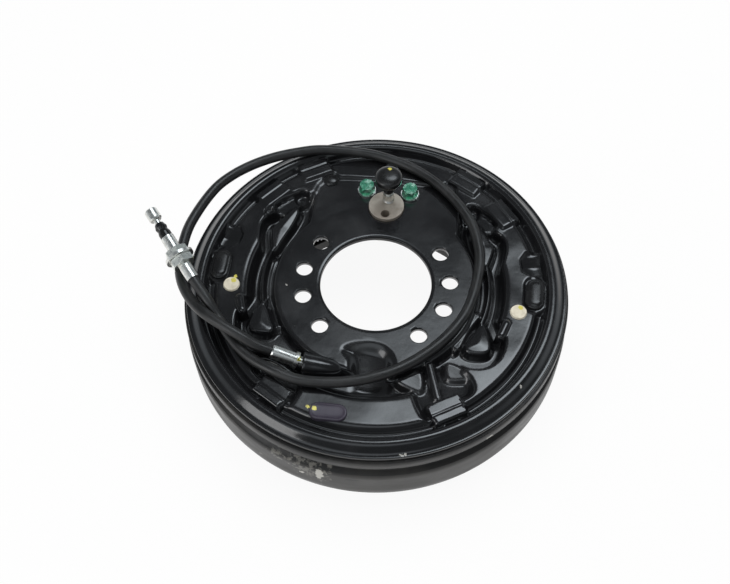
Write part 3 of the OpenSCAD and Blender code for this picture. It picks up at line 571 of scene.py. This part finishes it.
@dataclass
class PressedPlate:
    """The backing plate: a dense ring of sheet whose height follows every pressed form."""

    bore: float = 50.0
    sheet: float = 4.5
    around: int = 560
    top: tuple[tuple[float, float], ...] = (
        (50, 0), (89, 0), (91.5, -0.9), (93, -3), (94.5, -8.5), (96, -10), (109.5, -10), (112, -7.5),
        (114.5, -1.5), (116.5, 1.2), (119, 2), (141.5, 2), (144, 0.8), (146.5, -3), (148, -4), (149.8, -4),
        (151.3, -2.5), (153.3, 3), (155.3, 4.8), (157.5, 5.2), (160.5, 4.6), (163.5, 1.8), (166, -0.6),
        (168, -1.2), (170, -1.2))
    bolt_angles: tuple[float, ...] = (55.7, 83.5, 108.9, 139.2)

    def stations(self) -> list[float]:
        """Radii of the grid's rings, closer together where the section bends."""
        stops = ((50.0, 60.0, 3), (60.0, 80.0, 14), (80.0, 120.0, 40), (120.0, 141.0, 20), (141.0, 168.2, 30),
                 (168.2, 169.6, 2))
        radii = [50.0, 50.35]
        for low, high, count in stops:
            radii += [low + (high - low) * (i + 1) / count for i in range(count)]
        return radii + [169.9]

    def radial(self, r: np.ndarray) -> np.ndarray:
        """Height of the plain turned section at each radius, with its corners softened."""
        rs, zs = zip(*self.top)
        shares = np.hanning(15)[1:-1]
        taps = np.linspace(-2.1, 2.1, 13)
        return sum(w * np.interp(r + d, rs, zs) for w, d in zip(shares, taps)) / shares.sum()

    @staticmethod
    def settle(z: np.ndarray, target: np.ndarray | float, distance: np.ndarray, width: float) -> np.ndarray:
        """Blends the height to target inside an outline, over a slope of the given width."""
        t = smoothstep(0.5 - distance / width)
        return z * (1 - t) + target * t

    def flats(self, z: np.ndarray, x: np.ndarray, y: np.ndarray, r: np.ndarray) -> np.ndarray:
        """Presses the keyhole flat, the well, the moats and the recesses into the section."""
        lx = -np.abs(x)
        keyhole = self.settle(z, 0.0, polygon_distance(rounded(TOWER, 2), x, y) + 0.6, 5.6)
        z = np.where(r > 80, keyhole, z)
        angle = np.degrees(np.arctan2(y, np.abs(x)))
        sill = smoothstep((angle + 37) / 4) * smoothstep((32 - angle) / 4)
        ring = smoothstep(0.5 - (np.abs(r - 96.5) - 3.0) / 2.5)
        z = np.maximum(z, -10 + 4.2 * sill * ring)
        shelf = smoothstep((angle + 41) / 4) * smoothstep((-9 - angle) / 4) * (x > 0)
        z = np.maximum(z, -10 + 6.9 * shelf * smoothstep(0.5 - (np.abs(r - 93.8) - 4.6) / 2.4))
        for outline in (MOAT_LOW, MOAT_HIGH):
            z = self.settle(z, FLOOR_Z, polygon_distance(rounded(outline), lx, y) - 0.8, 5.5)
        slot = capsule_distance((-97, 74), (-81, 88), lx, y)
        z = self.settle(z, -4.0, slot - 7.0, 2.6)
        z = self.settle(z, -8.0, np.hypot(lx + 81, y - 88) - 6.3, 2.4)
        slope = -5.0 - 0.11 * (y + 103)
        z = self.settle(z, slope, polygon_distance(rounded(RECESS_RIGHT), x, y) - 1.5, 8.0)
        z = self.settle(z, slope, polygon_distance(rounded(RECESS_LEFT), x, y) - 1.0, 7.0)
        dish = np.clip(-6.5 + 0.21 * (y + 70) + 0.010 * (x - 7) ** 2, -13.8, -4.0)
        z = self.settle(z, dish, polygon_distance(rounded(WELL, 3), x, y) + 3.0, 12.0)
        u = (np.abs(x) - 141) * math.cos(math.radians(14)) + (y - 36) * math.sin(math.radians(14))
        v = -(np.abs(x) - 141) * math.sin(math.radians(14)) + (y - 36) * math.cos(math.radians(14))
        box = np.maximum.reduce((np.abs(u) - 12.5, np.abs(v) - 12.5, (np.abs(u) + np.abs(v)) * 0.7071 - 13.0))
        tilt = -5.5 + 4.0 * np.clip((v + 1) / 10, 0, 1) + 0.02 * u * u
        pocket = self.settle(z, tilt, box, 2.6)
        z = np.where(r < 151, pocket, z)
        z = self.settle(z, 0.5, capsule_distance((-142, -7), (-142, 11), lx, y) - 10.0, 2.0)
        return self.settle(z, 0.0, np.hypot(lx + 56, y - 111) - 7.8, 1.6)

    def raised(self, z: np.ndarray, x: np.ndarray, y: np.ndarray, r: np.ndarray) -> np.ndarray:
        """Presses the feet, ribs, domes, pads and small ridges up out of the section."""
        lx = -np.abs(x)
        for outline in (FOOT_LOW, FOOT_HIGH):
            reach = polygon_distance(rounded(outline), lx, y)
            crown = -1.2 + 0.13 * np.clip(-reach, 0, 9) + 0.05 * np.clip(y - 52, 0, 20)
            z = self.settle(z, np.maximum(z, crown), reach - 0.8, 5.0)
        angle = np.degrees(np.arctan2(y, np.abs(x)))
        ends = smoothstep((angle + 21.5) / 3) * smoothstep((19.5 - angle) / 3)
        crest = -0.3 - 2.6 * np.maximum(np.abs(r - 101.7) - 0.9, 0)
        z = np.where(ends > 0, np.maximum(z, FLOOR_Z + (crest - FLOOR_Z) * ends), z)
        dome = capsule_distance((-118, -31), (-114, -43), lx, y)
        z = np.maximum(z, np.where(dome < 4.6, 4.4 * np.sqrt(np.clip(1 - (dome / 4.7) ** 2, 0, 1)), -50))
        ring = np.hypot(x + 109, y - 67)
        z = np.where(ring < 6.5, self.settle(self.settle(z, 2.8, ring - 5.6, 1.8), -0.8, ring - 3.6, 1.8), z)
        for outline, height in ((FACET_INNER, -1.6 + 0.12 * (y + 95)), (FACET_LOBE, -2.2 + 0.13 * (y + 86))):
            z = self.settle(z, np.maximum(z, height), polygon_distance(rounded(outline), x, y) - 0.8, 5.5)
        bar = capsule_distance((55.3, -78), (64.7, -108), x, y)
        z = self.settle(z, np.maximum(z, 0.5 - 0.09 * bar ** 2), bar - 4.2, 3.2)
        for radius, turn in PADS:
            c, s = math.cos(math.radians(turn)), math.sin(math.radians(turn))
            out, along = x * c + y * s - radius, -x * s + y * c
            top = np.interp(out, (-10.5, -8.5, 0.2, 1.4, 2.6, 8.5, 10.5), (2.6, 4.2, 4.2, 3.5, 4.2, 4.1, 2.6))
            edge = np.maximum(np.abs(out) - 10.6, np.abs(along) - 15)
            z = np.where(edge < 1, self.settle(z, np.maximum(top, z - 2), edge, 2.2), z)
        return z

    def height(self, x: np.ndarray, y: np.ndarray) -> np.ndarray:
        """Height of the pressed sheet's top above the disc, in millimetres."""
        r = np.hypot(x, y)
        z = self.flats(self.radial(r), x, y, r)
        z = self.raised(z, x, y, r)
        sway = np.sin(x / 11 + 1.3 * np.sin(y / 17)) * np.sin(y / 9.5 + 0.8 * np.cos(x / 13))
        slow = np.sin(x / 29 + 0.7) * np.cos(y / 23 - 0.4)
        share = np.clip((r - 84) / 12, 0.15, 1) * np.clip((150 - r) / 6, 0.1, 1)
        return z + share * (0.16 * sway + 0.35 * slow)

    def cutters(self) -> bmesh.types.BMesh:
        """Round cutters for the bolt holes, the boss and the small holes."""
        holes = []
        for a in self.bolt_angles:
            for s in (-1, 1):
                turn = math.radians(90 + s * a)
                holes.append((66.5 * math.cos(turn), 66.5 * math.sin(turn), 7.5))
        holes += [(0, 85, 16.9), (0, 130, 6.0), (20.5, 102.5, 4.4), (-20.5, 102.5, 4.4)]
        mesh = bmesh.new()
        for x, y, radius in holes:
            bmesh.ops.create_cone(mesh, cap_ends=True, segments=64, radius1=radius, radius2=radius, depth=80,
                                  matrix=Matrix.Translation((x, y, PLATE_Z)))
        return mesh

    def build(self, shop: Workshop) -> bpy.types.Object:
        """Makes the plate as a closed sheet with its holes cut.

        Args:
            shop: Where the finish comes from.

        Returns:
            The plate.
        """
        mesh = bmesh.new()
        upper = self.ring_grid(mesh, self.stations())
        flat = np.array([v.co[:2] for v in upper])
        top = self.height(flat[:, 0], flat[:, 1])
        r = np.hypot(flat[:, 0], flat[:, 1])
        top = top - np.where(r < 50.2, 0.45, 0) - np.where(r > 169.8, 0.5, 0)
        for vert, height in zip(upper, top):
            vert.co.z = PLATE_Z + height
        lower = self.ring_grid(mesh, self.lower_stations())
        flat = np.array([v.co[:2] for v in lower])
        r = np.hypot(flat[:, 0], flat[:, 1])
        pressed = self.height(flat[:, 0], flat[:, 1])
        under = np.minimum(pressed, np.where(r > 143, pressed, self.radial(r))) - np.where(r > 163.5, 3.6, self.sheet)
        under = np.where(r < 86, np.minimum(-5.0, pressed - self.sheet), under)
        for vert, height in zip(lower, under):
            vert.co.z = PLATE_Z + height
        rims = [e for e in mesh.edges if e.is_boundary]
        for low, high in ((0, 60), (160, 200)):
            loop = [e for e in rims if low < e.verts[0].co.to_2d().length < high]
            bmesh.ops.bridge_loops(mesh, edges=loop)
        bmesh.ops.recalc_face_normals(mesh, faces=mesh.faces)
        piece = shop.finish("pressed_plate", mesh, "black_paint", stands_for=("backing_plate",), sharp=60)
        self.cut(piece)
        return piece

    @staticmethod
    def lower_stations() -> list[float]:
        """Radii of the rings on the sheet's lower side."""
        return [50.0, 62, 74, 85.6, 86.4, 89, 91, 93, 95, 97, 100, 104, 108, 111, 113, 115, 117, 120, 126, 132, 138,
                141, 143, 146, 149, 151.5, 153.5, 155.5, 157.5, 160, 162, 163.3, 164.5, 167, 169.9]

    def ring_grid(self, mesh: bmesh.types.BMesh, radii: Sequence[float]) -> list[bmesh.types.BMVert]:
        """Spins a flat ring of faces through the given radii.

        Args:
            mesh: Where the ring is made.
            radii: Radii of its loops.

        Returns:
            The ring's vertices.
        """
        line = [mesh.verts.new((r, 0, 0)) for r in radii]
        edges = [mesh.edges.new(pair) for pair in zip(line, line[1:])]
        before = len(mesh.verts) - len(line)
        bmesh.ops.spin(mesh, geom=line + edges, cent=(0, 0, 0), axis=(0, 0, 1), dvec=(0, 0, 0),
                       angle=2 * math.pi, steps=self.around, use_merge=True)
        mesh.verts.ensure_lookup_table()
        return [mesh.verts[i] for i in range(before, len(mesh.verts))]

    def cut(self, piece: bpy.types.Object) -> None:
        """Cuts the round holes out of the plate and applies the cut."""
        mesh = self.cutters()
        bmesh.ops.scale(mesh, vec=(MM, MM, MM), verts=mesh.verts)
        data = bpy.data.meshes.new("plate_cutters")
        mesh.to_mesh(data)
        mesh.free()
        tool = bpy.data.objects.new("plate_cutters", data)
        bpy.context.scene.collection.objects.link(tool)
        cut = piece.modifiers.new("holes", "BOOLEAN")
        cut.operation = "DIFFERENCE"
        cut.solver = "MANIFOLD"
        cut.object = tool
        graph = bpy.context.evaluated_depsgraph_get()
        done = bpy.data.meshes.new_from_object(piece.evaluated_get(graph))
        piece.modifiers.clear()
        old = piece.data
        piece.data = done
        bpy.data.meshes.remove(old)
        bpy.data.objects.remove(tool)
        for polygon in piece.data.polygons:
            polygon.use_smooth = True
        LOG.info("%s: %d faces after its holes", piece.name, len(piece.data.polygons))


@dataclass
class BrakeDrum:
    """The drum: a turned wall with a balancing groove, a rounded heel and an open face."""

    inner: float = 157.0
    wall: float = 17.0
    height: float = 86.0
    web: float = 12.0
    opening: float = 115.0

    def section(self) -> list[tuple[float, float]]:
        """Corners of the drum's section."""
        ro, h, ri = self.inner + self.wall, self.height, self.inner
        heel = Workshop.arc(ro - 30, 34, 30, -80, 0, 14)
        return [(self.opening, 0.6), (self.opening + 0.6, 0), (ro - 28.6, 0), (ro - 28, 0.5), *heel,
                (ro, h - 30), (ro - 0.1, h - 25), (ro - 0.9, h - 23.2), (ro - 4.6, h - 21.2), (ro - 5.5, h - 20),
                (ro - 5.5, h - 14.6), (ro - 4.8, h - 13.2), (ro - 2.2, h - 11.3), (ro - 1.5, h - 10),
                (ro - 1.5, h - 1.4), (ro - 1.9, h - 0.4), (ro - 2.9, h), (ri + 2, h), (ri, h - 2),
                (ri, self.web + 4), (ri - 4, self.web), (self.opening + 0.6, self.web),
                (self.opening, self.web - 0.6)]

    def build(self, shop: Workshop) -> bpy.types.Object:
        """Makes the drum with its stud holes.

        Args:
            shop: Where the finish comes from.

        Returns:
            The drum.
        """
        piece = shop.finish("drum_shell", Workshop.turned(self.section(), 240), "drum_iron", "drum", ("drum", "drum_web"), 32)
        mesh = bmesh.new()
        for i in range(6):
            turn = math.radians(30 + 60 * i)
            bmesh.ops.create_cone(mesh, cap_ends=True, segments=48, radius1=8.5, radius2=8.5, depth=60,
                                  matrix=Matrix.Translation((132 * math.cos(turn), 132 * math.sin(turn), 0)))
        bmesh.ops.scale(mesh, vec=(MM, MM, MM), verts=mesh.verts)
        data = bpy.data.meshes.new("stud_cutters")
        mesh.to_mesh(data)
        mesh.free()
        tool = bpy.data.objects.new("stud_cutters", data)
        bpy.context.scene.collection.objects.link(tool)
        cut = piece.modifiers.new("studs", "BOOLEAN")
        cut.operation = "DIFFERENCE"
        cut.solver = "MANIFOLD"
        cut.object = tool
        graph = bpy.context.evaluated_depsgraph_get()
        done = bpy.data.meshes.new_from_object(piece.evaluated_get(graph))
        piece.modifiers.clear()
        old = piece.data
        piece.data = done
        bpy.data.meshes.remove(old)
        bpy.data.objects.remove(tool)
        return piece


@dataclass
class CableHood:
    """The pressed hood that the cable's ferrule plugs into, a tapered half cone with an open mouth."""

    at: tuple[float, float, float] = (-57.5, -90.0, -0.4)
    dip: float = 10.0
    turn: float = 1.5

    def build(self, shop: Workshop) -> bpy.types.Object:
        """Makes the hood and trims it at the trough's floor."""
        section = [(5.6, 4.4), (10.2, 4.4), (11.0, 4.8), (11.4, 5.6), (11.3, 7), (10.9, 9), (10.6, 14), (10.2, 20),
                   (9.6, 26), (8.8, 31), (7.6, 35), (5.9, 38), (3.8, 40), (1.8, 40.9), (0.0, 41.1), (0.0, 38),
                   (3.2, 36.5), (6.4, 31), (8.2, 20), (8.9, 9.5), (8.7, 8.4), (5.6, 7.8)]
        mesh = Workshop.turned(section, 72)
        place = (Matrix.Translation(Vector((*self.at[:2], self.at[2] + PLATE_Z)))
                 @ Matrix.Rotation(math.radians(self.turn), 4, "Z")
                 @ Matrix.Rotation(math.radians(90 + self.dip), 4, "Y"))
        bmesh.ops.transform(mesh, matrix=place, verts=mesh.verts)
        bmesh.ops.bisect_plane(mesh, geom=mesh.verts[:] + mesh.edges[:] + mesh.faces[:],
                               plane_co=(0, 0, PLATE_Z - 13.5), plane_no=(0, 0, -1), clear_outer=True)
        bmesh.ops.triangle_fill(mesh, use_beauty=True, edges=[e for e in mesh.edges if e.is_boundary])
        bmesh.ops.recalc_face_normals(mesh, faces=mesh.faces)
        return shop.finish("cable_hood", mesh, "black_paint", stands_for=("backing_plate",), sharp=40)


@dataclass
class BleederCap:
    """Tall rubber cap on the bleeder: a slim neck and a domed head."""

    at: tuple[float, float] = (1.2, 92.2)
    head: float = 12.5

    def build(self, shop: Workshop) -> bpy.types.Object:
        """Makes the cap."""
        h = self.head
        dome = [(1.5 + (h - 1.5) * math.cos(math.radians(a)), 36.0 + 5.0 * math.sin(math.radians(a)))
                for a in range(0, 90, 9)]
        section = [(3.65, 16.4), (4.1, 16.0), (4.6, 16.0), (5.0, 16.6), (5.0, 18.2), (4.4, 19.2), (4.2, 23),
                   (4.5, 27), (5.6, 29.6), (h - 2.4, 30.2), (h - 0.8, 31.0), (h, 32.6), (h, 36.0), *dome,
                   (1.0, 40.98), (0, 41.0), (0, 22), (3.65, 21)]
        mesh = Workshop.turned(section, 96)
        bmesh.ops.translate(mesh, vec=(*self.at, PLATE_Z), verts=mesh.verts)
        return shop.finish("bleeder_cap_rubber", mesh, "black_rubber", "bleeder", ("bleeder_cap",), 50)


@dataclass
class Plugs:
    """Rubber plugs in the plate: two ovals at the sides, one for the adjuster and two round ones."""

    def oval(self, name: str, centre: tuple[float, float], half: float, radius: float, along_y: bool,
             base: float, heights: Sequence[tuple[float, float]], shop: Workshop, slot: str,
             stands_for: Sequence[str]) -> bpy.types.Object:
        """A low plug whose outline is two half rounds joined by straight sides.

        Args:
            name: The piece's name.
            centre: Plan place of its middle, in millimetres.
            half: Half the distance between the two round ends' centres.
            radius: Radius of the ends.
            along_y: True if it is long in Y, False if it is long in X.
            base: Height of its underside above the disc.
            heights: How far in and how high each step of its crown is.
            shop: Where the finish comes from.
            slot: The record's material slot.
            stands_for: CAD nodes that it replaces.

        Returns:
            The plug.
        """
        mesh = bmesh.new()
        steps = 20
        loops = []
        for inset, z in [(0.0, base), *heights]:
            ring = []
            for side in (1, -1):
                for i in range(steps + 1):
                    t = math.radians(180 * i / steps)
                    px = (radius - inset) * math.cos(t) * side
                    py = (half + (radius - inset) * math.sin(t)) * side
                    u, v = (px, py) if along_y else (py, -px)
                    ring.append(mesh.verts.new((centre[0] + u, centre[1] + v, PLATE_Z + z)))
            for a, b in zip(ring, ring[1:] + ring[:1]):
                mesh.edges.new((a, b))
            loops.append(ring)
        for low, high in zip(loops, loops[1:]):
            n = len(low)
            for i in range(n):
                mesh.faces.new((low[i], low[(i + 1) % n], high[(i + 1) % n], high[i]))
        mesh.faces.new(loops[-1])
        mesh.faces.new(loops[0][::-1])
        bmesh.ops.recalc_face_normals(mesh, faces=mesh.faces)
        return shop.finish(name, mesh, slot, stands_for=stands_for, sharp=60)

    def build(self, shop: Workshop) -> None:
        """Makes every plug."""
        crown = [(0.0, 2.1), (0.5, 2.8), (1.6, 3.0), (2.2, 3.2), (2.9, 4.0), (4.6, 4.5), (6.8, 4.7)]
        for side in Side:
            self.oval(f"side_plug_{side.name.lower()}", (142 * side.value, 2.5), 7.5, 8.4, True, -6.0, crown, shop,
                      "black_rubber", ("side_plugs",))
        low = [(0.0, 3.6), (0.5, 4.3), (1.6, 4.5), (2.2, 4.1), (3.0, 3.9), (6.4, 3.9)]
        self.oval("adjuster_plug_rubber", (-24, -133.5), 8.0, 7.8, False, -3.0, low, shop, "purple_plug",
                  ("adjuster_plug",))
        for side in Side:
            section = [(0, -5), (4.8, -5), (4.8, 0), (6.9, 0), (7.0, 0.7), (6.6, 1.5), (5.2, 2.4), (3.0, 3.0),
                       (1.0, 3.2), (0, 3.2)]
            mesh = Workshop.turned(section, 48)
            bmesh.ops.translate(mesh, vec=(56 * side.value, 111, PLATE_Z), verts=mesh.verts)
            shop.finish(f"round_plug_{side.name.lower()}", mesh, "black_rubber", stands_for=("round_plugs",), sharp=50)


@dataclass
class Studio:
    """Camera, floor and soft light of the photograph."""

    aim: tuple[float, float, float] = (-8.36, -11.43, 92.0)
    azimuth: float = 8.3
    elevation: float = 57.33
    distance: float = 891.9
    roll: float = -1.45
    lens: float = 49.315

    def camera(self) -> bpy.types.Object:
        """Places the camera where the photograph was taken from."""
        a, e, r = (math.radians(v) for v in (self.azimuth, self.elevation, self.roll))
        back = Vector((math.sin(a) * math.cos(e), -math.cos(a) * math.cos(e), math.sin(e)))
        right = Vector((math.cos(a), math.sin(a), 0.0))
        up = back.cross(right)
        right, up = math.cos(r) * right + math.sin(r) * up, math.cos(r) * up - math.sin(r) * right
        data = bpy.data.cameras.new("camera")
        data.lens, data.sensor_width = self.lens, 36.0
        data.clip_start, data.clip_end = 0.01, 20.0
        camera = bpy.data.objects.new("camera", data)
        bpy.context.scene.collection.objects.link(camera)
        turn = Matrix((right, up, back)).transposed().to_4x4()
        camera.matrix_world = Matrix.Translation(Vector(self.aim) * MM + back * self.distance * MM) @ turn
        bpy.context.scene.camera = camera
        return camera

    @staticmethod
    def area(name: str, place: tuple[float, float, float], target: tuple[float, float, float],
             size: tuple[float, float], watts: float, in_gloss: bool = True) -> None:
        """Adds a rectangular soft light, which gloss may show or leave to the surround."""
        data = bpy.data.lights.new(name, "AREA")
        data.shape = "RECTANGLE"
        data.size, data.size_y = size
        data.energy = watts
        lamp = bpy.data.objects.new(name, data)
        lamp.location = place
        lamp.rotation_mode = "QUATERNION"
        lamp.rotation_quaternion = (Vector(target) - Vector(place)).to_track_quat("-Z", "Y")
        lamp.visible_glossy = in_gloss
        bpy.context.scene.collection.objects.link(lamp)

    def floor(self) -> bpy.types.Object:
        """Makes the white floor, which shows pure white to the camera and keeps a soft shadow."""
        mesh = bmesh.new()
        bmesh.ops.create_grid(mesh, x_segments=1, y_segments=1, size=4.0, matrix=Matrix.Translation((0, 0, -0.0004)))
        data = bpy.data.meshes.new("floor")
        mesh.to_mesh(data)
        mesh.free()
        piece = bpy.data.objects.new("floor", data)
        bpy.context.scene.collection.objects.link(piece)
        n = Nodes("floor_paper")
        n.put("Base Color", (0.85, 0.85, 0.85, 1.0))
        n.put("Roughness", 0.9)
        path = n.tree.nodes.new("ShaderNodeLightPath")
        glow = n.tree.nodes.new("ShaderNodeEmission")
        glow.inputs["Strength"].default_value = 1.0
        mixer = n.tree.nodes.new("ShaderNodeMixShader")
        share = n.tree.nodes.new("ShaderNodeMath")
        share.operation = "MULTIPLY"
        share.inputs[1].default_value = 0.93
        either = n.tree.nodes.new("ShaderNodeMath")
        either.operation = "MAXIMUM"
        n.tree.links.new(path.outputs["Is Camera Ray"], either.inputs[0])
        n.tree.links.new(path.outputs["Is Glossy Ray"], either.inputs[1])
        n.tree.links.new(either.outputs[0], share.inputs[0])
        n.tree.links.new(share.outputs[0], mixer.inputs["Fac"])
        n.tree.links.new(n.shader.outputs[0], mixer.inputs[1])
        n.tree.links.new(glow.outputs[0], mixer.inputs[2])
        n.tree.links.new(mixer.outputs[0], n.tree.nodes["Material Output"].inputs["Surface"])
        data.materials.append(n.material)
        return piece

    @staticmethod
    def world() -> None:
        """Sets an even pale surround that reads white to the camera."""
        world = bpy.data.worlds.new("surround")
        bpy.context.scene.world = world
        world.use_nodes = True
        tree = world.node_tree
        background = tree.nodes["Background"]
        background.inputs["Color"].default_value = (1, 1, 1, 1)
        path = tree.nodes.new("ShaderNodeLightPath")
        heading = tree.nodes.new("ShaderNodeTexCoord")
        split = tree.nodes.new("ShaderNodeSeparateXYZ")
        tree.links.new(heading.outputs["Generated"], split.inputs[0])
        wall = tree.nodes.new("ShaderNodeMapRange")
        for name, number in (("From Min", 0.12), ("From Max", 0.42), ("To Min", 0.7), ("To Max", 0.14)):
            wall.inputs[name].default_value = number
        tree.links.new(split.outputs["Z"], wall.inputs["Value"])
        total = wall.outputs["Result"]
        for centre, half, strength in ((0.18, 0.36), (0.34, 0.20), 5.5), ((-0.15, -0.50), (0.60, 0.28), 0.9):
            total = Studio.soft_box(tree, heading.outputs["Generated"], total, centre, half, strength)
        gloss = tree.nodes.new("ShaderNodeMix")
        gloss.inputs[2].default_value = 0.45
        tree.links.new(path.outputs["Is Glossy Ray"], gloss.inputs[0])
        tree.links.new(total, gloss.inputs[3])
        seen = tree.nodes.new("ShaderNodeMix")
        seen.inputs[3].default_value = 1.0
        tree.links.new(path.outputs["Is Camera Ray"], seen.inputs[0])
        tree.links.new(gloss.outputs[0], seen.inputs[2])
        tree.links.new(seen.outputs[0], background.inputs["Strength"])
        cool = tree.nodes.new("ShaderNodeMix")
        cool.data_type = "RGBA"
        cool.inputs[6].default_value = (1.0, 1.0, 1.0, 1.0)
        cool.inputs[7].default_value = (0.86, 0.94, 1.0, 1.0)
        tree.links.new(path.outputs["Is Glossy Ray"], cool.inputs[0])
        tree.links.new(cool.outputs[2], background.inputs["Color"])

    @staticmethod
    def soft_box(tree: bpy.types.NodeTree, heading: bpy.types.NodeSocket, below: bpy.types.NodeSocket,
                 centre: tuple[float, float], half: tuple[float, float], strength: float) -> bpy.types.NodeSocket:
        """Adds a soft-edged bright field of the surround, which gloss shows.

        Args:
            tree: The world's nodes.
            heading: The direction looked in.
            below: Brightness so far.
            centre: X and Y of the direction to the field's middle.
            half: How far it reaches in X and Y.
            strength: Its brightness in the middle.

        Returns:
            The brightness with the field added.
        """
        place = tree.nodes.new("ShaderNodeMapping")
        place.inputs["Scale"].default_value = (1 / half[0], 1 / half[1], 0.0)
        place.inputs["Location"].default_value = (-centre[0] / half[0], -centre[1] / half[1], 0.0)
        tree.links.new(heading, place.inputs["Vector"])
        reach = tree.nodes.new("ShaderNodeVectorMath")
        reach.operation = "LENGTH"
        tree.links.new(place.outputs["Vector"], reach.inputs[0])
        fade = tree.nodes.new("ShaderNodeMapRange")
        fade.interpolation_type = "SMOOTHSTEP"
        for name, number in (("From Min", 0.5), ("From Max", 1.15), ("To Min", strength), ("To Max", 0.0)):
            fade.inputs[name].default_value = number
        tree.links.new(reach.outputs["Value"], fade.inputs["Value"])
        total = tree.nodes.new("ShaderNodeMath")
        tree.links.new(below, total.inputs[0])
        tree.links.new(fade.outputs["Result"], total.inputs[1])
        return total.outputs[0]

    def light(self) -> None:
        """Sets the lamps, the surround and the floor."""
        self.world()
        self.floor()
        self.area("overhead_box", (0.1, 0.30, 1.6), (0.1, 0.30, 0.0), (1.5, 1.16), 18.0, in_gloss=False)
        self.area("front_left_box", (-1.1, -1.1, 0.8), (0, 0, 0.05), (0.8, 0.7), 6.0)


def main() -> None:
    """Builds the camera, the cable, the plate, the drum and the small pieces, and dresses the rest."""
    logging.basicConfig(level=logging.INFO, format="%(name)s %(message)s")
    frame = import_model()
    bpy.context.scene.view_settings.view_transform = "Standard"
    studio = Studio()
    studio.camera()
    finishes = Finishes()
    finishes.build()
    shop = Workshop(finishes)
    for entry in frame["record"]["subparts"]:
        finishes.dress(frame["nodes"][entry["node"]], entry["material_slot"],
                       "pale_nuts" if entry["node"] == "lock_nuts" else "")
    ParkingCable().build(shop)
    PressedPlate().build(shop)
    CableHood().build(shop)
    BrakeDrum().build(shop)
    BleederCap().build(shop)
    Plugs().build(shop)
    studio.light()


if __name__ == "__main__":
    main()
